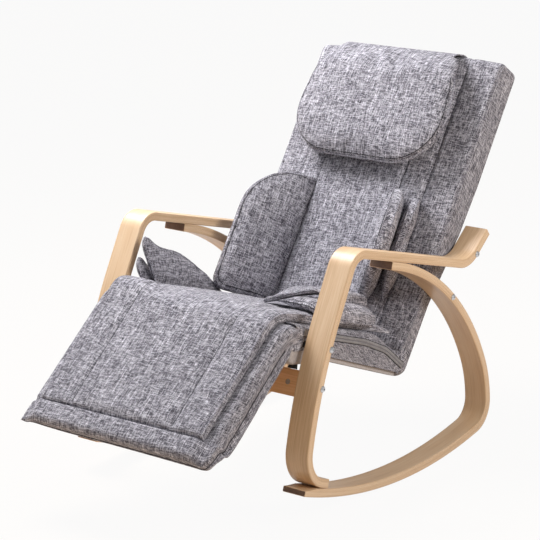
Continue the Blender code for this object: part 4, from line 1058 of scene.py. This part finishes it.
class Pad:
    """A pad from a closed outline: rings shrink to its centre on both faces and swell there."""

    def __init__(self, outline, centre, front, rear, put, turn_uv=False, full=6.0):
        self.m = len(outline)
        verts, uv_of, faces, uvs = [], [], [], []
        self.face, self.k = [], []

        def add(k, swell, face):
            ids = []
            h = max(0.0, 1 - k ** full) ** 0.5
            for a, b in outline:
                a, b = centre[0] + k * (a - centre[0]), centre[1] + k * (b - centre[1])
                ids.append(len(verts))
                verts.append(put(a, b, h * swell(a, b)))
                uv_of.append((b, a) if turn_uv else (a, b))
                self.face.append(face)
                self.k.append(k)
            return ids

        self.rows = {}
        rim = add(1.0, front, 0)
        for face, swell in ((1, front), (-1, lambda a, b: -rear(a, b))):
            last = rim
            self.rows[face] = [rim]
            for k in RINGS[1:]:
                nxt = add(k, swell, face)
                for i in range(self.m):
                    j = (i + 1) % self.m
                    faces.append((last[i], last[j], nxt[j], nxt[i])[::face])
                last = nxt
                self.rows[face].append(nxt)
            tip = len(verts)
            verts.append(put(*centre, swell(*centre)))
            uv_of.append(centre[::-1] if turn_uv else tuple(centre))
            self.face.append(face)
            self.k.append(0.0)
            for i in range(self.m):
                faces.append((last[i], last[(i + 1) % self.m], tip)[::face])
        shift = {True: 0.0, False: REAR_U}
        for f in faces:
            first = all(self.face[i] >= 0 for i in f)
            uvs.append(tuple((uv_of[i][0] + shift[first], uv_of[i][1]) for i in f))
        self.mesh = mesh_from(verts, faces, uvs)
        self.face, self.k = np.array(self.face), np.array(self.k)

    def puff(self, pressure, grow, cap):
        """Swell the pad, with its rim sewn."""
        puff(self.mesh, (self.k > SEWN_RIM).astype(float), pressure, grow, cap)


def even(outline, step):
    """A closed outline with points about a step apart."""
    loop = outline + outline[:1]
    n = max(24, round(lengths(loop)[-1] / step))
    return spread(loop, n)[:-1]


def free_edge(outline, above):
    """The points of an outline that stand clear of its sewn root, in order along the edge."""
    free = [i for i in range(len(outline)) if outline[i][1] > above]
    gap = next((j for j in range(len(free)) if free[j] - free[j - 1] > 1), 0)
    return free[gap:] + free[:gap]


def finish_pad(name, mesh, node, body, more=()):
    """Put a finished cover in the chair."""
    ob = linked(name, mesh)
    mesh.name = name
    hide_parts(node, *more)
    if body:
        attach(ob, body)
    return ob


# Head pillow
half, bot, top_s = PILLOW_HALF, PILLOW_LOW, PILLOW_TOP + 0.008
neck = half - 0.036
pill = even([(-half, 0.52)] + corner((-half, 0.52), (-half, bot), (0, bot), 0.120) + [(0, bot)]
            + corner((0, bot), (half, bot), (half, 0.52), 0.120) + [(half, 0.52), (half - 0.007, 0.58)]
            + corner((half - 0.007, 0.58), (neck, top_s), (0, top_s), 0.040) + [(0, top_s)]
            + corner((0, top_s), (-neck, top_s), (0.007 - half, 0.58), 0.040) + [(0.007 - half, 0.58)], 0.009)


def pillow_rim(s):
    return PILLOW_RIM - (PILLOW_RIM - 0.018) * ease(s, 0.600, PILLOW_TOP + 0.008)


def pillow_front(x, s):
    """The swell of the front, with the seams drawn in beside the middle and folds to the strap."""
    line = 0.112 + 0.10 * (s - 0.50) ** 2 / 0.01 * 0.1
    seam = groove(abs(x) - line, 0.0055, 0.0035) * ease(s, 0.40, 0.44) * ease(0.60 - s, 0.0, 0.05)
    fold = 0.0026 * math.sin(95 * (x + 0.55 * s)) * ease(s, 0.55, 0.63)
    return PILLOW_FRONT + seam + fold - 0.001


pillow = Pad(pill, (0, 0.520), pillow_front, lambda a, b: PILLOW_BACK - (PILLOW_RIM - pillow_rim(b)) - 0.002,
             lambda a, b, c: BACK.at(a, b, pillow_rim(b) + c), full=3.6)
pillow.puff(3.0, 0.02, 0.004)
HEM_TOP = 0.62
rim = pillow.rows[1][0]
start = next(i for i in range(len(rim)) if pill[i][1] < HEM_TOP and pill[i - 1][1] >= HEM_TOP)
hem = [i % len(rim) for i in range(start, start + len(rim)) if pill[i % len(rim)][1] < HEM_TOP]
hem_line = [pillow.rows[1][2][i] for i in hem]
finish_pad("pillow_cover",
           piped(pillow.mesh, [([rim[i] for i in hem], 0.0026)], [(hem_line, 0.0013)], [(hem_line, 0.003)]),
           "head_pillow", "pillow")


# Waist pads
def waist_outline(wide, low, high, lean):
    tip = high - 0.014
    return even([(low, 0.0), (0.5 * (low + high), 0.0), (high, 0.0)]
                + corner((high - 0.005, 0.0), (tip, wide), (low + lean, wide), 0.85 * wide)
                + corner((tip, wide), (low + lean, wide), (low, 0.0), 0.17 * wide)
                + [(low + 0.3 * lean, 0.3 * wide)], 0.008)


def waist_pad(name, node, body, hand, x, tilt, outline, centre, swell):
    a = math.radians(tilt)
    dip = {WAIST_X: 0.0040, SIDE_X: 0.0035}
    root = BACK.at(hand * x, 0, BACK_EDGE * ease(x, BACK_SEAMS[0] - 0.03, HALF + 0.03) - dip[x] + 0.0006)
    along = Vector((0, *BACK.s))
    away = Vector((hand * math.sin(a), *(math.cos(a) * v for v in BACK.n)))
    face = Vector((-hand * math.cos(a), *(math.sin(a) * v for v in BACK.n)))
    thick = lambda s, w: (swell - 0.001) * (0.16 + 0.84 * ease(w, 0.0, 0.034))
    p = Pad(outline, centre, thick, thick, lambda s, w, c: root + along * s + away * w + face * c, True)
    p.puff(3.0, 0.02, 0.003)
    order = free_edge(outline, 0.012)
    inner = [p.rows[1][3][i] for i in order]
    finish_pad(name, piped(p.mesh, [([p.rows[f][2][i] for i in order], 0.0013) for f in (1, -1)],
                           [(inner, 0.0015)], [(inner, -0.003)]), node, body)


# For each side: where its pads start, how far their ends lean, and how much more upright they stand
WAIST_SIDES = (("right", 1, 0.024, 0.058, (4.0, 12.0)), ("left", -1, -0.006, -0.022, (0.0, 5.0)))
for side_name, hand, low, lean, up in WAIST_SIDES:
    waist_pad("waist_cover_inner_" + side_name, "waist_pad_inner_" + side_name, "waist_inner_" + side_name,
              hand, WAIST_X, WAIST_TILT - up[0], waist_outline(WAIST_W, low, 0.326, lean),
              (0.165, 0.5 * WAIST_W), WAIST_T)
    waist_pad("waist_cover_outer_" + side_name, "waist_pad_outer_" + side_name, "waist_outer_" + side_name,
              hand, SIDE_X, SIDE_TILT - up[1], waist_outline(SIDE_W, low + 0.026, 0.318, lean),
              (0.180, 0.5 * SIDE_W), SIDE_T + 0.001 * hand + 0.001)


# Hip pads
def hip_pad(name, node, body, hand, root_x, root_h, outline, centre, bend, swell=HIP_T):
    def put(t, b, c):
        x, v, n = root_x, root_h, 24
        for i in range(n):
            a = math.radians(bend(t, b * (i + 0.5) / n))
            x, v = x + math.cos(a) * b / n, v + math.sin(a) * b / n
        a = math.radians(bend(t, b))
        return SEAT.at(hand * (x - math.sin(a) * c), t, v + math.cos(a) * c)

    thick = lambda t, b: swell * (0.12 + 0.88 * ease(b, 0.0, 0.036))
    outline = even(outline, 0.007)
    p = Pad(outline, centre, thick, thick, put, True)
    p.puff(2.0, 0.015, 0.002)
    order = free_edge(outline, 0.006)
    finish_pad(name, piped(p.mesh, [([p.rows[f][2][i] for i in order], 0.0013) for f in (1, -1)],
                           [([p.rows[1][0][i] for i in order], 0.0008)]), node, body)


def lower_outline(t0, t1, wide):
    return ([(t0, 0), (0.5 * (t0 + t1), 0), (t1, 0)] + corner((t1, 0), (t1, wide), (t0, wide), 0.028)
            + [(0.5 * (t0 + t1), wide)] + corner((t1, wide), (t0, wide), (t0, 0), 0.040))


def flap_outline(t0, t1, edge):
    """A raised flap: its root from t0 to t1, then its free edge back to t0."""
    return [(t0 + (t1 - t0) * i / 5, 0.0) for i in range(6)] + [tuple(p) for p in smooth_line(edge, 1)]


UPPER_EDGE = ((0.348, 0.012), (0.362, 0.036), (0.376, 0.062), (0.386, 0.086), (0.384, 0.102), (0.376, 0.110),
              (0.366, 0.104), (0.350, 0.090), (0.326, 0.084), (0.300, 0.083), (0.275, 0.083), (0.250, 0.080),
              (0.222, 0.070), (0.185, 0.054), (0.145, 0.036), (0.110, 0.018))
LOWER_EDGE = ((0.340, 0.006), (0.358, 0.018), (0.374, 0.036), (0.381, 0.054), (0.378, 0.072), (0.370, 0.082),
              (0.360, 0.078), (0.353, 0.064), (0.340, 0.054), (0.310, 0.046), (0.260, 0.038), (0.190, 0.035),
              (0.120, 0.034), (0.072, 0.026))
SEWN, LOWER_RIGHT_H, LOWER_RIGHT_T = 2 * GAP, 0.0190, 0.0163
hip_pad("hip_cover_upper_left", "hip_pad_upper_left", "hip_upper_left", -1, SEAT_PAD_HALF - 0.013,
        0.0006 + SEWN, flap_outline(0.080, 0.340, UPPER_EDGE), (0.275, 0.038), lambda t, b: 75)
hip_pad("hip_cover_lower_left", "hip_pad_lower_left", "chair", -1, SEAT_PAD_HALF + 0.0015, base_h + SEWN,
        flap_outline(0.060, 0.325, LOWER_EDGE), (0.300, 0.022), lambda t, b: 71, 0.006)
right_upper = ([(0.088 + 0.187 * i / 4, 0.0) for i in range(5)]
               + [(0.292, 0.022), (0.306, 0.055), (0.324, 0.090)]
               + corner((0.324, 0.090), (0.352, 0.136), (0.110, 0.138), 0.012)
               + [(0.280, 0.137), (0.220, 0.138), (0.160, 0.138)]
               + corner((0.160, 0.140), (0.086, 0.138), (0.086, 0.02), 0.016)
               + [(0.086, 0.085), (0.086, 0.045)])
hip_pad("hip_cover_upper_right", "hip_pad_upper_right", "hip_upper_right", 1, SEAT_PAD_HALF - 0.021,
        LOWER_RIGHT_H + LOWER_RIGHT_T + SEWN, right_upper, (0.205, 0.072),
        lambda t, b: 88 + (96 + 19 * ease(t, 0.2, 0.34)) * ease(b, 0.004, 0.030), 0.0065)
hip_pad("hip_cover_lower_right", "hip_pad_lower_right", "chair", 1, SEAT_PAD_HALF - 0.097, LOWER_RIGHT_H,
        lower_outline(0.088, 0.330, 0.130), (0.205, 0.066), lambda t, b: -56 * ease(b, 0.070, 0.125),
        LOWER_RIGHT_T)

# Covers of the seat, back and leg rest, with their sewn cords
edge = len(cover.stations) - 1
rims = [[cover.ring(j, i) for i in range(6, cover.n)] for j in (2, edge - 2)]
calf = [[cover.ring(j, i) for i in range(12, cover.n - 1)] for j, (x, _, _) in enumerate(cover.stations)
        if abs(abs(x) - CALF_SEAM) < 1e-6]
ob = finish_pad("seat_and_calf_cover",
                piped(cover.mesh, [(r, 0.0016) for r in rims], [(r, 0.0010) for r in calf],
                      [(r, off) for r in calf for off in (0.004, -0.004)]),
                "seat_pad", None, ("calf_pad",))
SEAT.at(0, knee_seat[0] - 0.004, 0.0)
LEG.at(0, 0.012, LEG_T + CALF_T)
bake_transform(ob)

last = len(back.stations) - 1
back_runs = [[back.ring(j, i) for i in range(4, back.n + back.k)] for j in (0, last)]
back_seams = [[back.ring(j, i) for i in range(3, back.n - 4)] for j, (x, _, _) in enumerate(back.stations)
              if any(abs(abs(x) - q) < 1e-6 for q in BACK_SEAMS)]
finish_pad("back_cover", piped(back.mesh, [(r, 0.0018) for r in back_runs], [(r, 0.0010) for r in back_seams],
                               [(r, 0.004) for r in back_seams]), "back_cushion", "chair")
finish_pad("seat_base_cover", piped(base.mesh, shape=shape_base), "base_cushion", "chair")


# Gathered cloth at the sides of the knee, behind the leg rest's roll
def knee_skirt(side):
    first, last_a = reach_a - 0.05, math.radians(139)
    turn = [first + (last_a - first) * i / 8 for i in range(9)]
    rim = [knee_at(0.060, a) for a in turn] + [knee_at(0.013, a) for a in turn[::-1]]
    p = Pad(even(rim, 0.004), knee_at(0.036, 0.5 * (first + last_a)), lambda y, z: 0.0035, lambda y, z: 0.002,
            lambda y, z, c: Vector((side * (0.2505 + c), y - Y_MID, z)), True)
    c = coords(p.mesh)
    for i, v in enumerate(c):
        v[0] += side * 0.8 * drawn_to(v[1] + Y_MID, v[2], v[0]) * (p.face[i] > 0)
    set_coords(p.mesh, c)
    return piped(p.mesh)


for side, side_name in ((1, "right"), (-1, "left")):
    ob = linked("knee_skirt_" + side_name, knee_skirt(side))
    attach(ob, "chair")

# Leg rest: a seam round its side above the lip, a cord on the lip, and a seam on the roll's hidden rear edge;
# the seams are dark lines of painted shade
across = range(len(leg_rest.stations))
roll_seam = [leg_rest.ring(j, 0) for j in across][1:-1]


def round_leg(q, first):
    """A run from the right knee along the side, round the toe and back along the left side."""
    right = [leg_rest.cap(1, i, q) for i in range(first, leg_rest.n)]
    front = [leg_rest.ring(j, leg_rest.n + leg_rest.k - max(q, 1)) for j in across][-2:0:-1]
    return right + front + [leg_rest.cap(-1, i, q) for i in range(leg_rest.n - 1, first - 1, -1)]


finish_pad("leg_rest_cover",
           piped(leg_rest.mesh, [(round_leg(1, 12), 0.0022)],
                 [(round_leg(3, 12), 0.0011), (roll_seam, 0.0014)], [(roll_seam, 0.005)]),
           "leg_rest_base", "leg_rest")


# Zip along the right side of the seat base: two tapes in a shallow channel, with teeth between them
def zip_band():
    verts, faces, uvs = [], [], []
    prof = [(-ZIP_HALF, 0.0), (-ZIP_HALF, 0.0013), (-0.0016, 0.0016), (-0.0010, 0.0008), (0.0010, 0.0008),
            (0.0016, 0.0016), (ZIP_HALF, 0.0013), (ZIP_HALF, 0.0)]
    m, run = len(prof), lengths(zip_path)
    teeth = []
    for i, (y, z) in enumerate(zip_path):
        a, b = zip_path[max(i - 1, 0)], zip_path[min(i + 1, len(zip_path) - 1)]
        d = Vector((b[0] - a[0], b[1] - a[1])).normalized()
        for w, h in prof:
            verts.append((HALF + GAP + h, y - d.y * w - Y_MID, z + d.x * w))
        teeth.append((HALF + GAP + 0.0014, y - Y_MID, z))
    for i in range(len(zip_path) - 1):
        for j in range(m):
            k = (j + 1) % m
            faces.append((i * m + j, i * m + k, (i + 1) * m + k, (i + 1) * m + j))
            u0, u1 = prof[j][0], prof[k][0] if k else -0.02
            uvs.append(((u0, run[i]), (u1, run[i]), (u1, run[i + 1]), (u0, run[i + 1])))
    end = (len(zip_path) - 1) * m
    faces += [tuple(range(m)), tuple(end + j for j in range(m))]
    uvs += [tuple((w, 0.0) for w, _ in prof)] * 2
    me = mesh_from(verts, faces, uvs)
    # Dark lines of painted shade along the outer edges of the tapes
    lines = [tube([(HALF + GAP + 0.0008, v[1], v[2]) for v in verts[j::m]], 0.0009, seg=6)
             for j in (1, m - 2)]
    rows = sewn_row(teeth, 0.0017, 0.0011, 0.0021, STITCH)
    return merged([(me, 0), (rows, 1)] + [(t, 2) for t in lines], [ZIP_CLOTH, STITCH, SEAM_SHADE])


ob = linked("zip_band", zip_band())
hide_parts("zip_tape")
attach(ob, "chair")


# Strap of the pillow over the top of the back
def strap_lines():
    reach = 2 * GAP + STRAP_T / 2
    rear_c, top_c = (BACK_TOP + 0.002 - 0.018, BACK_REAR + 0.018), (BACK_TOP - 0.026, -0.026)
    path = ([(0.600, BACK_REAR - reach), (0.640, BACK_REAR - reach)]
            + arc(rear_c, 0.018 + reach, -math.pi / 2, 0, 6)
            + arc(top_c, 0.026 + reach, 0, math.radians(32), 4)
            + [(PILLOW_TOP + 0.016, 0.008), (PILLOW_TOP + 0.002, PILLOW_MID - 0.001)])
    path = spread([BACK.yz(*p) for p in path], 40)
    up, down = [], []
    for i, p in enumerate(path):
        d = (Vector(path[min(i + 1, 40)]) - Vector(path[max(i - 1, 0)])).normalized()
        t = STRAP_T / 2 * (1 - 0.6 * ease(i, 34, 40))
        up.append((p[0] - d.y * t, p[1] + d.x * t, 1))
        down.append((p[0] + d.y * t, p[1] - d.x * t, 0.2))
    return up, between(up[-1], down[-1], 1), down, between(down[0], up[0], 1)


strap = Block(lambda x: strap_lines(), STRAP_HALF, 0.0015, (0.04, 0.08, 0.12, 0.15), 0.0, 2)
finish_pad("pillow_strap_cover", piped(strap.mesh), "pillow_strap", "chair")

# CAD nodes that keep their shape
KEPT_LOOKS = ((("bolt_", "guide_rod", "hinge_", "rail_barrel", "massage_motor", "zip_slider"), STEEL),
              (("seat_frame",), BLACK_STEEL), (("rail_bumper",), RUBBER),
              (("seat_pan", "leg_rest_board", "back_board"), LINING),
              (("control", "air_", "power", "rod_holder", "massage_"), PLASTIC),
              (("front_cross_rail",), RAIL_WOOD))
for name, node in nodes.items():
    mat = next((look for starts, look in KEPT_LOOKS if name.startswith(starts)), None)
    if mat:
        node.data.materials.clear()
        node.data.materials.append(mat)


# Stage, lights and camera
def floor_look():
    """White to the camera and to mirrored rays, with a faint shadow; to the light a warm floor."""
    k = Look("pale_floor", 0.9)
    k.colour((0.62, 0.48, 0.35))
    rays = [k.node("ShaderNodeLightPath", {}, {}, "Is " + kind + " Ray")
            for kind in ("Camera", "Glossy", "Transmission")]
    seen = k.node("ShaderNodeMath", {"operation": 'MINIMUM'}, {0: rays[0] + rays[1] + rays[2], 1: 1.0})
    glow = k.node("ShaderNodeEmission", {}, {"Color": (1, 1, 1), "Strength": 1.0})
    m = k.node("ShaderNodeMixShader", {}, {0: seen * 0.94, 1: Val(k, k.shader.outputs[0]), 2: glow})
    k.put(k.tree.nodes["Material Output"].inputs["Surface"], m)
    return k.mat


FLOOR_REACH, FLOOR_Z = 30, -0.001
me = bpy.data.meshes.new("studio_floor")
me.from_pydata([(x * FLOOR_REACH, y * FLOOR_REACH, FLOOR_Z) for x, y in ((-1, -1), (1, -1), (1, 1), (-1, 1))],
               [], [(0, 1, 2, 3)])
floor = place("studio_floor", me, floor_look())

world = bpy.data.worlds.new("studio")
scene.world = world
world.use_nodes = True
bg = world.node_tree.nodes["Background"]
bg.inputs["Color"].default_value = (1, 1, 1, 1)
bg.inputs["Strength"].default_value = 0.32


def lamp(name, at, to, size, watts, rgb):
    data = bpy.data.lights.new(name, 'AREA')
    data.shape, data.size, data.energy, data.color = 'DISK', size, watts, rgb
    ob = linked(name, data)
    ob.location = at
    ob.rotation_euler = (Vector(to) - Vector(at)).to_track_quat('-Z', 'Y').to_euler()


lamp("key", (-1.15, -0.05, 2.4), (0, 0.0, 0.5), 1.2, 72, (1.0, 0.99, 1.0))
lamp("front", (-1.6, -3.0, 2.4), (0, 0, 0.4), 2.2, 22, (0.96, 0.98, 1.0))
lamp("side", (3.0, 0.3, 1.9), (0, 0, 0.4), 1.6, 52, (1.0, 0.965, 0.93))

# The camera fitted to the photograph: its turn, tilt, focal length in pixels and place
CAM_A, CAM_E, CAM_F, CAM_AT = 0.6405667, 0.2626529, 2200.0, (2.91745, -3.91175, 1.77543)
SENSOR, PHOTO_PX = 36.0, 540
cam = bpy.data.cameras.new("camera")
cam.sensor_width, cam.lens = SENSOR, SENSOR * CAM_F / PHOTO_PX
eye = linked("camera", cam)
look = Vector((-math.sin(CAM_A) * math.cos(CAM_E), math.cos(CAM_A) * math.cos(CAM_E), -math.sin(CAM_E)))
across = Vector((math.cos(CAM_A), math.sin(CAM_A), 0))
m = Matrix.Identity(4)
m.col[0], m.col[1], m.col[2] = (*across, 0), (*across.cross(look), 0), (*-look, 0)
m.col[3] = (CAM_AT[0], CAM_AT[1] - Y_MID, CAM_AT[2], 1)
eye.matrix_world = m
scene.camera = eye
scene.view_settings.view_transform = 'Standard'
